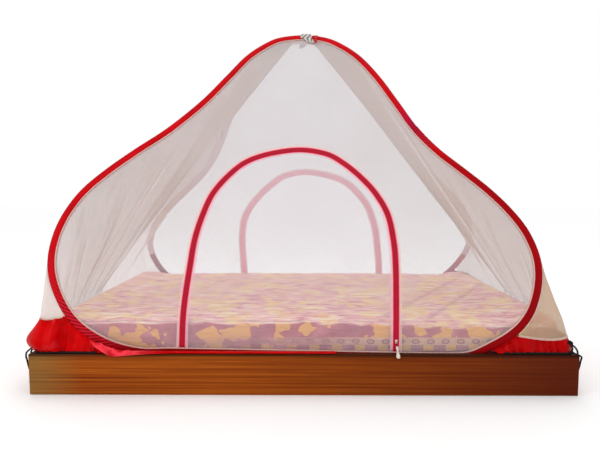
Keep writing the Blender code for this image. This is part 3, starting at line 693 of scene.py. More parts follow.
def buildHoop(name, material, tape, allowance):
    side = sides[name]
    width = hoopShape["width"]
    (middle, outer, inner), along = alongLoop(side, (width / 2, 0, width), binding["step"])
    height = heightOf(middle[:, 1])
    rightward = middle[:, 0] > 0
    strength = np.full(len(along), binding["ribPlain"])
    for hand, low, high, amount in binding["ribPlaces"]:
        inside = ease((height - low) / binding["ribFade"]) * ease((high - height) / binding["ribFade"])
        strength = np.maximum(strength, amount * inside * (middle[:, 0] * hand > 0))
    # painted shade: darker down the right side and along the low left run
    paintedShade = sum(
        amount * ease((top - height) / span) * (rightward == (hand > 0))
        for hand, top, span, amount in binding["shades"]
    )
    beside = ease((np.abs(middle[:, 0]) - binding["fullStart"]) / binding["fullSpan"])
    unevenness = 1 + binding["uneven"] * ripple(along, 0 * along, 0.22, 21)
    fullness = mix(binding["thickness"], binding["fuller"], np.where(height > 1, beside, 1)) * unevenness
    # the tape's joint: one end lies over the other, a little aside, and the dye has run at it
    above = height - binding["joint"] - binding["bruiseLift"]
    bruise = binding["bruise"] * np.where(rightward, bell(above, binding["bruiseSpan"]), 0)
    joint = along[int(np.argmin(np.where(rightward, np.abs(height - binding["joint"]), 9)))]
    over = ease((joint - along) / 0.004) * ease((along - joint + 0.07) / 0.03)
    aside = ease((along - joint) / 0.004) * ease((joint + 0.16 - along) / 0.12)
    turns = binding["around"]

    def ribWave(column, across):
        phase = along[column] / binding["pitch"] + binding["ribSlant"] * across
        phase = phase + 0.12 * ripple(along[column], 0, 0.15, 22)
        return strength[column] * (0.5 + 0.5 * np.cos(2 * math.pi * phase)) ** 1.5

    def place(column, row):
        angle = 2 * math.pi * row / turns
        across = 0.5 - 0.5 * np.cos(angle)
        flat = mix(outer[column], inner[column], (across - binding["jointShift"] * aside[column])[:, None])
        lift = np.sin(angle) * fullness[column] / 2
        lift = lift * (1 - binding["ribDepth"] * ribWave(column, across))
        lift = lift + binding["jointStep"] * over[column] * np.sin(angle)
        return onSide(name, onPanel(flat, lift)), (along[column], row / turns * binding["girth"])

    # painted shade in the grooves of the ribs
    def ribs(column, row):
        return ribWave(column, 0.5 - 0.5 * np.cos(2 * math.pi * row / turns))

    # painted highlight between the ribs
    def lights(column, row):
        return strength[column] * (1 - ribs(column, row) / np.maximum(strength[column], 0.01))

    values = {
        "rib": ribs,
        "low": lambda column, row: paintedShade[column],
        # painted shade at both edges of the tape
        "edge": lambda column, row: np.abs(np.cos(2 * math.pi * row / turns)) ** 6 * 0.7,
        "purple": lambda column, row: bruise[column],
        "light": lights,
    }
    tube = layGrid("binding_" + name, len(along) - 1, turns, place, values, closed=True)
    dress(tube, material, "red_binding", "hoop_" + name)

    # narrow tape that covers the net's seam beside the hoop
    seam, rows, start = binding["seamWidth"], binding["seamRows"], width - 0.002
    (_, near, far), seamAlong = alongLoop(side, (width, start, start + seam), binding["step"] * 2)

    def tapeLift(column, share):
        wobble = 0.0004 * ripple(seamAlong[column], 0, 0.05, 23)
        return binding["seamLift"] + binding["seamCrown"] * np.sin(math.pi * share) + wobble

    strip = layBand("seam_tape_" + name, name, near, far, seamAlong, rows, seam, tapeLift, closed=True)
    dress(strip, tape, "white_polyester_net")

    # the net's allowance, folded over the inner face of the hoop
    edges = (width / 2, 0.001, width + 0.004)
    (middle, near, far), innerAlong = alongLoop(side, edges, binding["step"] * 4)
    kept = np.flatnonzero(heightOf(middle[:, 1]) > binding["allowanceFoot"])
    beside = ease((np.abs(middle[kept, 0]) - binding["fullStart"]) / binding["fullSpan"])
    deeper = (binding["fuller"] - binding["thickness"]) / 2 * beside
    near, far, innerAlong = near[kept], far[kept], innerAlong[kept]

    def allowanceLift(column, share):
        return -binding["allowanceDrop"] - deeper[column] + binding["allowanceCurl"] * (2 * share - 1) ** 2

    values = {"rim": lambda column, row: row * 0 + 1.0}
    wide = binding["allowanceWidth"]
    fold = layBand("seam_allowance_" + name, name, near, far, innerAlong, rows, wide, allowanceLift, values)
    dress(fold, allowance, "white_polyester_net")


bindingMaterial = tightBinding()
tapeMaterial = seamTape()
allowanceNet = knittedNet("folded_seam_net", "#DEC2C4", "#DEC2C4", 0.72, 0.72)
for sideName in sides:
    buildHoop(sideName, bindingMaterial, tapeMaterial, allowanceNet)
print("hoops bound")

# Zips: pale woven tape, crimson middle and a coil of teeth

zipTape = {
    "rows": 10,
    "thickness": 0.0012,
    "core": 0.58,  # share of the tape that the thicker middle takes
    "coilWidth": 0.0046,
    "coilStep": 0.0008,
    "coilRows": 4,
    "rise": 0.0016,
    "back": -0.0013,
    "backHalf": 0.42,
}


def zipTapeMaterial():
    # polyester herringbone tape: crimson beside the coil, thin pink margins and a whitish rim
    material, add = newMaterial("woven_zip_tape")
    uv = add("TexCoord")
    across = add("Attribute", attribute_name="across")
    stops = [(0.0, "#A8001C"), (0.60, "#BC0428"), (0.68, "#DC6480"), (0.84, "#E8A4B0"), (1.0, "#EED2D2")]
    colour = add("ValToRGB", [across], stops=stops)
    noise = add("TexNoise", {"Vector": uv, "Scale": 30.0, "Detail": 4.0})
    light = add("MapRange", (noise, 0.0, 1.0, 0.8, 1.15))
    tone = add("HueSaturation", {"Color": colour, "Value": light})
    # twill lines 1 mm apart, drawn 2 mm
    turn = add("Mapping", {"Vector": uv, "Rotation": (0, 0, math.radians(50))})
    twill = add("TexWave", {"Vector": turn, "Scale": waveScale(0.002)})
    bump = add("Bump", {"Strength": 0.4, "Distance": 0.0004, "Height": twill})
    feed(material, {"Base Color": tone, "Roughness": 0.6, "Specular IOR Level": 0.15, "Normal": bump})
    return material


def nylonCoil():  # extruded nylon coil, crimson and slightly glossy, with painted shade between its teeth
    material, add = newMaterial("nylon_zip_coil")
    tooth = add("Attribute", attribute_name="tooth")
    # painted shade between the teeth
    colour = add("Mix", {"Factor": tooth, "A": "#7C0A26", "B": "#B8143C"}, data_type="RGBA")
    feed(material, {"Base Color": colour, "Roughness": 0.4, "Specular IOR Level": 0.3})
    return material


def tapeBack():  # the tape's undyed back, pink where the dye shows through its plain weave
    shine = {"Roughness": 0.75, "Specular IOR Level": 0.15}
    stops = [(0.3, "#F08CA6"), (0.7, "#F6B4C4")]
    return patterned("zip_tape_back", "TexNoise", {"Scale": 60.0, "Detail": 3.0}, stops, shine)


def buildZip(name, material, coilMaterial, backMaterial):
    arch, width, rows = sides[name]["arch"], zipShape["width"], zipTape["rows"]
    along = lengthsAlong(arch)

    def besides(half):
        return [zipLine(arch, distance) for distance in (-half, half)]

    def tapeLift(column, share):
        apart = np.abs(2 * share - 1)
        out = 0.0004 + 0.0004 * np.where(apart < zipTape["core"], 1, 0) - 0.0006 * apart
        return out + 0.0007 * ripple(along[column], share, 0.05, 31) * apart

    across = {"across": lambda column, row: np.abs(2 * row / rows - 1)}
    tape = layBand("zip_tape_" + name, name, *besides(width / 2), along, rows, width, tapeLift, across)
    thicken(tape, zipTape["thickness"])
    dress(tape, material, "red_zip_tape", "zip_" + name)

    coilWidth, coilRows = zipTape["coilWidth"], zipTape["coilRows"]
    wanted = np.linspace(0, along[-1], int(along[-1] / zipTape["coilStep"]))
    near, far = (resample(wanted, along, line) for line in besides(coilWidth / 2))

    def coilLift(column, share):
        tooth = np.where((column % 2 == 0) == (share <= 0.5), 1.0, 0.45)
        return 0.0007 + zipTape["rise"] * np.sin(math.pi * share) * tooth

    teeth = {"tooth": lambda column, row: np.where((column % 2 == 0) == (row <= 2), 1.0, 0.0)}
    coil = layBand("zip_coil_" + name, name, near, far, wanted, coilRows, coilWidth, coilLift, teeth)
    dress(coil, coilMaterial, "red_zip_tape")

    near, far = besides(width * zipTape["backHalf"])
    wide = 2 * width * zipTape["backHalf"]
    backAlong = lengthsAlong(near)
    lining = layBand("zip_lining_" + name, name, near, far, backAlong, 4, wide, lambda *_: zipTape["back"])
    dress(lining, backMaterial, "red_zip_tape")


zipMaterial = zipTapeMaterial()
coilMaterial = nylonCoil()
backMaterial = tapeBack()
for sideName in sides:
    buildZip(sideName, zipMaterial, coilMaterial, backMaterial)
print("zips laid")

# The two ends: net from the hoops down over the mattress's edge, then the gathered skirt

ends = {
    "flat": (1.30, 1.75),
    "leastArea": 0.70,
    "seam": 0.0013,
    "hemSeam": 0.0014,
    "edgeBack": 0.0030,
    "paleEdge": {-1: 0.75, 1: 0.0},  # of the front strip, by hand
    "farPale": {-1: 0.75, 1: 0.35},  # of the rear half, low down
    "farTop": 0.66,
    "farFade": 0.20,
    "farStart": 0.42,
    "startHeight": {True: 0.160, False: 0.1508},
    "netStart": 0.006,
    "skirtHeights": (0.207, 0.272),  # at its low and its tall corners
    "skirtPlan": (0.972, 0.550),
    "footPlan": (0.985, 0.556),
    "footLift": 0.0022,
    "kneePlan": (0.956, 0.540),
    "kneeWider": 0.016,
    "kneeLift": 0.020,
    "kneeClear": 0.007,
    "kneeShare": 0.35,
    "cornerRadius": 0.04,
    "widestReach": 0.035,
    "reachPower": 0.75,
    "slackStations": 6,
    "finer": 3,  # columns of the net for each station of the hoop
    "gatherStart": 0.07,
    "sag": -0.012,
    "fold": 0.013,
    "folds": 5.5,
    "rows": 54,
    "kneeRow": 44,
    "dip": {True: 0.008, False: 0.010},  # of the hem between the hoop and the corner
    "cornerLift": 0.005,
    "cornerSpan": 0.05,
    "mattressTop": 0.265,
    "railTop": 0.15,
    "tuck": 0.024,  # of the hem below the mattress's edge, away from the tall corners
    "tuckStart": {-1: 0.02, 1: -0.05},
    "tuckSpan": 0.08,
}
# Creases of each end net: share of the way from front to back, width, depth, how far up they start
creases = {
    "left": (
        (0.13, 0.006, 0.004, 0.55), (0.17, 0.009, -0.006, 0.40), (0.215, 0.008, 0.008, 0.30),
        (0.26, 0.012, -0.009, 0.20), (0.31, 0.008, 0.008, 0.30), (0.36, 0.014, 0.010, 0.08),
        (0.43, 0.016, -0.010, 0.10), (0.50, 0.009, 0.009, 0.22), (0.57, 0.013, -0.008, 0.05),
        (0.64, 0.010, 0.010, 0.12), (0.72, 0.014, -0.008, 0.20), (0.80, 0.009, 0.007, 0.30),
        (0.87, 0.007, -0.005, 0.50),
    ),
    "right": (
        (0.12, 0.006, 0.005, 0.50), (0.16, 0.008, -0.006, 0.42), (0.20, 0.010, 0.009, 0.30),
        (0.25, 0.008, -0.008, 0.20), (0.30, 0.012, 0.011, 0.10), (0.37, 0.010, -0.010, 0.16),
        (0.44, 0.014, 0.011, 0.05), (0.52, 0.011, -0.009, 0.12), (0.60, 0.009, 0.009, 0.20),
        (0.68, 0.013, -0.009, 0.10), (0.76, 0.009, 0.008, 0.30), (0.85, 0.008, -0.006, 0.45),
    ),
}


def planPoint(reach, plan):  # on a rounded corner: below zero along the side, above it along the end
    length, width = plan
    radius = ends["cornerRadius"]
    angle = np.clip((reach + radius) / (2 * radius), 0, 1) * math.pi / 2
    way = np.stack([np.sin(angle), np.cos(angle), 0 * angle], axis=1)
    point = np.array([length - radius, width - radius, 0]) + way * radius
    point[:, 0] += np.minimum(reach + radius, 0)
    point[:, 1] -= np.maximum(reach - radius, 0)
    return point, way


def hoopEdge(name):
    side = sides[name]
    return inset(side["loop"], -ends["seam"])[: len(side["edge"])]


def makeQuarter(hand, facing):
    tall = hand * facing > 0
    half = tent["halfStations"] * tent["fine"]
    line = hoopEdge("front" if facing < 0 else "back")
    flat = (line[: half + 1] if tall else line[half:][::-1])[:-1]
    heights = heightOf(flat[:, 1])
    lowHeight, tallHeight = ends["skirtHeights"]
    topHeight, otherHeight = (tallHeight, lowHeight) if tall else (lowHeight, tallHeight)
    skirtStart = int(np.argmax(heights > ends["startHeight"][tall]))
    netStart = int(np.argmax(heights > topHeight + ends["netStart"]))
    widest = int(np.argmax(np.abs(flat[:, 0])))
    stations = np.arange(len(flat))
    share = (stations - netStart) / (widest - netStart)
    climb = ease(share)
    edge = onPanel(flat, -ends["edgeBack"] * climb)
    edge = edge if facing < 0 else turned(edge)
    # how far round the bed's end each station reaches
    length, width = ends["skirtPlan"]
    beside = np.abs(edge[:, 0]) - length
    start = beside[netStart]
    last = len(flat) - 0.5 * tent["fine"]
    up = np.clip((stations - widest) / (last - widest), 0, 1) ** ends["reachPower"]
    reach = np.where(stations < netStart, beside, mix(start, ends["widestReach"], share))
    reach = np.where(stations > widest, mix(ends["widestReach"], width, up), reach)
    out = np.array([hand, facing, 1])
    hem, hemWay = planPoint(reach, ends["skirtPlan"])
    hem[:, 1] -= (width - abs(edge[netStart, 1]) - ends["seam"]) * (1 - climb)
    hem[:, 2] = mix(topHeight, otherHeight, ease(np.maximum(reach, 0) / (2 * width)))
    hem[:, 2] -= ends["dip"][tall] * np.sin(math.pi * np.clip((reach - start) / (0.02 - start), 0, 1))
    hem[:, 2] += ends["cornerLift"] * bell(reach, ends["cornerSpan"])
    tallness = (hem[:, 2] - lowHeight) / (tallHeight - lowHeight)
    bend = planPoint(reach, ends["kneePlan"])[0]
    bend[:, 0] += ends["kneeWider"] * tallness
    bend[:, 2] = np.maximum(hem[:, 2] + ends["kneeLift"], ends["mattressTop"] + ends["kneeClear"])
    tucked = ease((reach - ends["tuckStart"][facing]) / ends["tuckSpan"])
    hem[:, 2] -= ends["tuck"] * np.clip(tallness, 0, 1) * tucked
    hem, bend = hem * out, bend * out
    foot, footWay = planPoint(reach, ends["footPlan"])
    foot = foot * out
    foot[:, 2] = ends["railTop"] + ends["footLift"]
    return {
        "edge": edge,
        "knee": mix(mix(hem, edge, ends["kneeShare"]), bend, climb[:, None]),
        "hem": hem,
        "hemWay": hemWay * out * np.array([1, 1, 0]),
        "foot": foot,
        "footWay": footWay * out * np.array([1, 1, 0]),
        "slack": ease((stations - widest - tent["fine"]) / (ends["slackStations"] * tent["fine"])),
        "tallness": tallness,
        "gathered": ease(np.abs(reach) / ends["gatherStart"]),
        "isNet": stations >= netStart,
        "skirtStart": skirtStart,
        "netStart": netStart,
    }


def joinQuarters(hand, keys, start):  # one line from the front hoop round to the back one
    front, back = makeQuarter(hand, -1), makeQuarter(hand, 1)
    return {key: np.concatenate([front[key][front[start] :], back[key][back[start] :][::-1]]) for key in keys}


def buildEndNet(name, hand, material):
    lines = joinQuarters(hand, ("edge", "knee", "hem", "hemWay", "slack"), "netStart")
    stations = len(lines["edge"]) - 1
    columns = stations * ends["finer"]
    along = np.arange(columns + 1) / columns
    order = np.arange(stations + 1) / stations
    lines = {key: resample(along, order, line) for key, line in lines.items()}
    outward, slack = lines["hemWay"], lines["slack"]
    held = 0.35 + 0.65 * slack
    rows, kneeRow = ends["rows"], ends["kneeRow"]
    wavy = ends["fold"] * np.sin(2 * math.pi * ends["folds"] * along + hand)
    points = np.empty((columns + 1, rows + 1, 3))
    pleats = np.zeros((columns + 1, rows + 1))
    shines = np.zeros((columns + 1, rows + 1))
    for row in range(rows + 1):
        hanging = row <= kneeRow  # below that it is drawn down over the mattress's edge
        if hanging:
            share = row / kneeRow
            out = (wavy * share * share - ends["sag"]) * slack * math.sin(math.pi * share)
            points[:, row] = mix(lines["edge"], lines["knee"], share) + outward * out[:, None]
            fixed = max(math.sqrt(math.sin(math.pi * min(max(share, 0.02), 0.98))), 0.3)
            tail, sway = 1, 1
        else:
            share = (row - kneeRow) / (rows - kneeRow)
            points[:, row] = mix(lines["knee"], lines["hem"], share)
            fixed, tail, sway = 0.3, 1 - 0.7 * share, 0.2
        for middle, width, depth, begin in creases[name]:
            apart = along - (middle + 0.010 * math.sin(5 * share + 40 * middle) * sway)
            grown = ease((share - begin) / 0.4) if hanging else tail
            points[:, row] += outward * (bell(apart, width) * depth * grown * fixed * held)[:, None]
            pleats[:, row] += bell(apart, 0.45 * width) * grown * abs(depth) / 0.010
            # painted highlight beside each crease's crest
            shines[:, row] += bell(apart - 0.5 * width, 0.25 * width) * grown * max(depth, 0) / 0.010
        streaks = ripple(along, 0 * along + share * 0.03, 0.020, 81 + hand, 9)
        pleats[:, row] += 0.45 * np.clip(streaks - 0.3, 0, 1) * ease(share / 0.3) * tail
        # painted highlight along some of the streaks
        shines[:, row] += 0.35 * np.clip(-streaks - 0.7, 0, 1) * ease(share / 0.3) * tail
    for _ in range(2):  # soften the bend over the mattress's edge
        above, inner, below = (points[:, kneeRow + start : kneeRow + start + 7] for start in (-4, -3, -2))
        inner[:] = (above + 2 * inner + below) / 4
    steps = np.linalg.norm(np.diff(points, axis=1), axis=2)
    down = np.cumsum(np.concatenate([np.zeros((columns + 1, 1)), steps], axis=1), axis=1)
    whole = down[:, -1:]
    level = lengthsAlong(lines["hem"])

    def place(column, row):
        return points[column, row], (level[column], -down[column, row])

    # painted highlights, and paler along the front strip of the left end
    def shine(column, row):
        near = ends["paleEdge"][hand] * ease((0.20 - along[column]) / 0.08)
        return np.clip(shines[column, row] + near, 0, 0.9)

    def far(column, row):
        low = ends["farPale"][hand] * ease((ends["farTop"] - points[column, row, 2]) / ends["farFade"])
        return low * ease((along[column] - ends["farStart"]) / 0.16)

    values = {
        "rim": lambda column, row: np.minimum(down[column, row], (whole - down)[column, row]),
        "pleat": lambda column, row: np.clip(pleats[column, row], 0, 1.2),
        "shine": shine,
        "far": far,
    }
    net = hangNet("end_net_" + name, "net_" + name, material, columns, rows, place, values)


# painted shade: the ends' white net is given a darker, warmer beige thread
endNet = knittedNet("warp_knitted_end_net", "#C2A488", "#DCC2B4", 0.48, 0.72)
for endName, hand in hands.items():
    buildEndNet(endName, hand, endNet)
print("end nets hung")

# Skirts: red satin gathered between the elastic corners

skirt = {
    "flat": (1.62, 0.15),
    "mostArea": 0.24,
    "columnStep": 0.004,
    "rows": 22,
    "thickness": 0.0011,
    "bellyTall": 0.034,
    "bellyLow": 0.005,
    "gather": 0.0062,
    "cornerGather": 0.55,  # of it that is left where the elastic pulls
    "pleat": 0.036,  # metres from one gather to the next
    "secondPleat": 0.43,  # finer ones between them, as a share
    "sway": 0.022,  # of the gathers along the hem
    "drift": 0.016,  # sideways from top to hem
    "scallop": 0.0085,
    "crumple": 0.0014,
    "frill": 0.0012,
    "pipeRadius": 0.0015,
    "cordRadius": 0.0034,  # of the raised piping beside the hoop
    "hemRadius": 0.0042,  # of the black elastic along the hem, made thicker as a painted shadow under the hem too
    "hemOut": 0.0015,
}


def redSatin():
    # polyester satin: long floats give it a soft stretched shine, and painted pink highlights lie along its
    # fold crests
    material, add = newMaterial("polyester_satin")
    uv = add("TexCoord")
    noise = add("TexNoise", {"Vector": uv, "Scale": 14.0, "Detail": 4.0})
    stops = [(0.3, "#A40002"), (0.52, "#BE0003"), (0.75, "#CE0206")]
    colour = add("ValToRGB", [noise], stops=stops)
    # painted pink highlights on fold crests, set by the crest attribute
    crest = add("Attribute", attribute_name="crest")
    x = add("SeparateXYZ", [add("TexCoord", out="Object")], "X")
    deeper = add("MapRange", (x, -0.2, 0.9, 0.0, 0.6))  # less light reaches the right end
    for share, code in ((crest, "#FF4050"), (deeper, "#8E0002")):
        colour = add("Mix", {"Factor": share, "A": colour, "B": code}, data_type="RGBA")
    # the weave's threads are 0.3 mm apart, drawn 1.5 mm
    threads = add("TexWave", {"Vector": uv, "Scale": waveScale(0.0015), "Distortion": 1.0})
    fine = add("Bump", {"Strength": 0.12, "Distance": 0.0003, "Height": threads})
    creased = add("TexNoise", {"Vector": uv, "Scale": 45.0, "Detail": 3.0, "Distortion": 1.2})
    bump = add("Bump", {"Strength": 0.5, "Distance": 0.003, "Height": creased, "Normal": fine})
    feed(material, {"Base Color": colour, "Roughness": 0.34, "Specular IOR Level": 0.12, "Normal": bump})
    feed(material, {"Specular Tint": "#FF8A8A", "Anisotropic": 0.5})
    return material


def buildSkirt(name, hand, material):
    keys = ("hem", "edge", "foot", "footWay", "tallness", "gathered", "isNet")
    lines = joinQuarters(hand, keys, "skirtStart")
    isNet, foot = lines["isNet"], lines["foot"]
    top = np.where(isNet[:, None], lines["hem"] - np.array([0, 0, ends["hemSeam"]]), lines["edge"])
    belly = np.where(isNet, mix(skirt["bellyLow"], skirt["bellyTall"], lines["tallness"]), skirt["bellyLow"])
    raw = lengthsAlong(foot + 0.3 * top)
    wanted = np.linspace(0, raw[-1], int(raw[-1] / 1.3 / skirt["columnStep"]))
    values = (top, foot, lines["footWay"], belly, lines["gathered"], isNet)
    top, foot, ways, belly, loose, isNet = (resample(wanted, raw, value) for value in values)
    ways = unit(ways)
    along = lengthsAlong(foot)
    uneven = along + skirt["sway"] * ripple(along, 0 * along, 0.13, 41 + hand)
    rows = skirt["rows"]
    deep = np.clip(0.65 + 0.65 * ripple(along, 0 * along, 0.12, 44 + hand), 0.15, 1.5)
    loose = mix(skirt["cornerGather"], 1, loose)

    def place(column, row):
        share = row / rows
        lean = uneven[column] + skirt["drift"] * share * np.sin(along[column] * 9)
        wave = np.sin(2 * math.pi * lean / skirt["pleat"])
        second = np.sin(2 * math.pi * lean / (skirt["pleat"] * skirt["secondPleat"]) + 1)
        grown = 0.45 + 0.55 * np.sin(math.pi * np.minimum(share * 0.72, 0.5))
        size = skirt["gather"] * deep[column] * loose[column] * grown
        out = belly[column] * np.sin(math.pi * share**1.5) + size * (wave + 0.35 * second)
        uneasy = ripple(along[column], share * 0.1, 0.03, 47)
        out = out + skirt["crumple"] * loose[column] * np.sin(math.pi * share) * uneasy
        points = mix(top[column], foot[column], share[:, None]) + ways[column] * out[:, None]
        tall = np.clip((top - foot)[column, 2] / 0.05, 0, 1)
        scallop = skirt["scallop"] * loose[column] * tall * (0.4 + 0.6 * wave)
        frill = skirt["frill"] * loose[column] * second
        points[:, 2] += scallop * ease((share - 0.75) / 0.25) + frill * ease((0.1 - share) / 0.1)
        return points, (along[column], -share * 0.1)

    # painted highlights along some of the gather crests
    def crestHighlights(column, row):
        wave = np.sin(2 * math.pi * (uneven[column] + 0.02 * row / rows) / skirt["pleat"])
        streak = ripple(along[column], row / rows * 0.02, 0.03, 49, 6)
        return 0.3 * ease((wave - 0.6) / 0.4) * ease((streak - 0.4) / 0.5) * loose[column]

    cloth = layGrid("satin_skirt_" + name, len(wanted) - 1, rows, place, {"crest": crestHighlights})
    thicken(cloth, skirt["thickness"])
    dress(cloth, material, "red_satin", "skirt_" + name)
    edge = top + ways * 0.002
    first, last = np.flatnonzero(isNet > 0.5)[[0, -1]]
    seam = edge[first : last + 1]
    pipe("skirt_piping_" + name, seam, skirt["pipeRadius"], tapeMaterial, "white_polyester_net", 0.2)
    for title, line in (("front", edge[: first + 1]), ("back", edge[last:])):
        pipe(f"skirt_cord_{name}_{title}", line, skirt["cordRadius"], material, "red_satin", 0.15)
    # black elastic along the hem, thick enough to stand also as painted shadow under it
    hem = foot + ways * skirt["hemOut"]
    hem[:, 2] = ends["railTop"] + skirt["hemRadius"] + 0.0002
    pipe("hem_elastic_" + name, hem[4:-4], skirt["hemRadius"], elasticMaterial, "black_elastic", 0.12)


def buildKnots(place, hand, facing, material):  # each end of a loop is knotted at the skirt
    across, along = elastic["corner"]
    turn = np.linspace(0, 2 * math.pi, 61)
    knot = [np.sin(turn) + 2 * np.sin(2 * turn), np.cos(turn) - 2 * np.cos(2 * turn), -np.sin(3 * turn)]
    outward = np.array([hand, facing, 0]) / math.sqrt(2)
    radius = elastic["radius"]
    size = radius * elastic["knot"]
    for label, (x, y, z) in zip(("start", "end"), elastic["ends"][place]):
        middle = np.array([(across + x) * hand, (along + y) * facing, z])
        line = middle + outward * size * 1.5 + np.stack(knot, axis=1) * size
        pipe(f"knot_{place}_{label}", line, radius * elastic["knotRadius"], material, "black_elastic")


satinMaterial = redSatin()
for endName, hand in hands.items():
    buildSkirt(endName, hand, satinMaterial)
    for sideName, facing in facings.items():
        buildKnots(f"{sideName}_{endName}", hand, facing, elasticMaterial)
print("skirts gathered")

# Strip of each skirt over the long rail, folded out at its taller end

flap = {
    "flat": (0.95, 0.055),
    "area": 0.034,
    "rows": (  # x, out from the middle, foot and crest of the fold
        (-0.800, 0.5560, 0.2000, 0.2080), (-0.765, 0.5620, 0.1850, 0.2010), (-0.735, 0.5680, 0.1660, 0.1910),
        (-0.700, 0.5720, 0.1470, 0.1790), (-0.685, 0.5725, 0.1440, 0.1740), (-0.650, 0.5715, 0.1470, 0.1660),
        (-0.600, 0.5705, 0.1510, 0.1605), (-0.560, 0.5700, 0.1530, 0.1575), (-0.470, 0.5620, 0.1535, 0.1560),
        (0.120, 0.5610, 0.1530, 0.1560),
    ),
    "crestBack": 0.0060,  # of the crest behind the foot
    "foldEnd": -0.52,
    "foldFade": 0.1,
    "lift": 0.0040,
    "overlap": 0.055,
    "end": 0.120,
    "crowding": 1.5,
    "columns": 420,
    "across": 24,
    "hoopHalf": 0.0058,
    "gap": 0.0008,
    "thickness": 0.0009,
}


def buildFlap(name, material):
    half = tent["halfStations"] * tent["fine"] // 2
    edge = onPanel(hoopEdge(name))[:half]
    quarter = makeQuarter(-1, -1)
    reach = -abs(quarter["edge"][quarter["skirtStart"], 0]) - flap["overlap"]
    x = mix(reach, flap["end"], np.linspace(0, 1, flap["columns"] + 1) ** flap["crowding"])
    order = np.argsort(edge[:, 0])
    height = np.maximum(np.interp(x, edge[order, 0], edge[order, 2]), ends["railTop"] + flap["lift"])
    top = np.stack([x, -panelDepth(height) - flap["hoopHalf"] - flap["gap"], height], axis=1)
    rows = np.array(flap["rows"])
    out, footHeight, crestHeight = resample(x, rows[:, 0], rows[:, 1:]).T
    crest = np.stack([x, flap["crestBack"] - out, crestHeight], axis=1)
    front = np.stack([x, -out, footHeight], axis=1)
    folded = ease((flap["foldEnd"] - x) / flap["foldFade"]) * ease((x - reach) / 0.03)

    def ridge(column, share):
        return 1.3 - 1.9 * np.abs(ripple(x[column] * 0.8, share * 0.03, 0.060, 61, 5))

    def place(column, row):
        share = row / flap["across"] * 2  # up to 1 from the hoop to the crest, then down to the foot
        first = mix(top[column], crest[column], np.minimum(share, 1)[:, None])
        second = mix(crest[column], front[column], np.maximum(share - 1, 0)[:, None])
        points = np.where((share <= 1)[:, None], first, second)
        middle = np.sin(math.pi * np.clip(share / 2, 0, 1))
        small = 1 - 2 * np.abs(ripple(x[column], share * 0.05, 0.026, 63, 6))
        points[:, 2] += middle * (0.0006 + 0.0035 * folded[column]) * ridge(column, share)
        points[:, 1] -= middle * folded[column] * (0.007 * ridge(column, share) + 0.004 * small + 0.004)
        return onSide(name, points), (x[column], share * 0.03)

    # painted highlights on the crumpled folds
    def crestHighlights(column, row):
        return folded[column] * np.clip(0.35 + 0.5 * ridge(column, row / flap["across"] * 2), 0, 1)

    strip = layGrid("satin_strip_" + name, flap["columns"], flap["across"], place, {"crest": crestHighlights})
    thicken(strip, flap["thickness"])
    dress(strip, material, "red_satin", "skirt_" + name)


for sideName in sides:
    buildFlap(sideName, satinMaterial)
print("strips folded")

# Sliders and pulls

slider = {
    "size": (0.0088, 0.0048, 0.0138),
    "height": 0.187,
    "tapeTop": 0.0018,
    "rounding": 0.0007,
    "bridge": (0.0013, 0.0040),  # its rise and half its length
    "pullTop": (0.5335, 0.1895),
    "pullTip": (0.5765, 0.1405),
    "pullThickness": 0.0016,
    "pullGrid": (44, 12),
    # half the pull's width down from its neck
    "pullHalf": ((0, 0.0044), (0.2, 0.0044), (0.42, 0.0030), (0.75, 0.0068), (1, 0.0068)),
    "rim": 0.0004,
    "linkShare": 0.32,
    "linkRadius": 0.0008,
}


def castZinc():  # die-cast zinc with a pale cream enamel worn at its edges
    pattern = {"Scale": 400.0, "Detail": 3.0}
    stops = [(0.35, "#8F8576"), (0.5, "#D9CFBE"), (1.0, "#F2EADB")]
    shine = {"Metallic": 0.55, "Roughness": 0.32}
    bump = {"Strength": 0.2, "Distance": 0.0003}
    return patterned("enamelled_zinc", "TexNoise", pattern, stops, shine, bump, "Object")


def steelLink():  # blackened steel wire
    stops = [(0.3, "#2C2220"), (0.7, "#544640")]
    shine = {"Metallic": 0.8, "Roughness": 0.45}
    return patterned("blackened_steel_wire", "TexNoise", {"Scale": 700.0}, stops, shine, coords="Object")


def leaning(points, start, lean):  # local (x, out, up) points set on a leaning line
    cosine, sine = math.cos(lean), math.sin(lean)
    x, out, up = np.asarray(points, float).T
    return start + np.stack([x, up * sine - out * cosine, out * sine + up * cosine], axis=1)


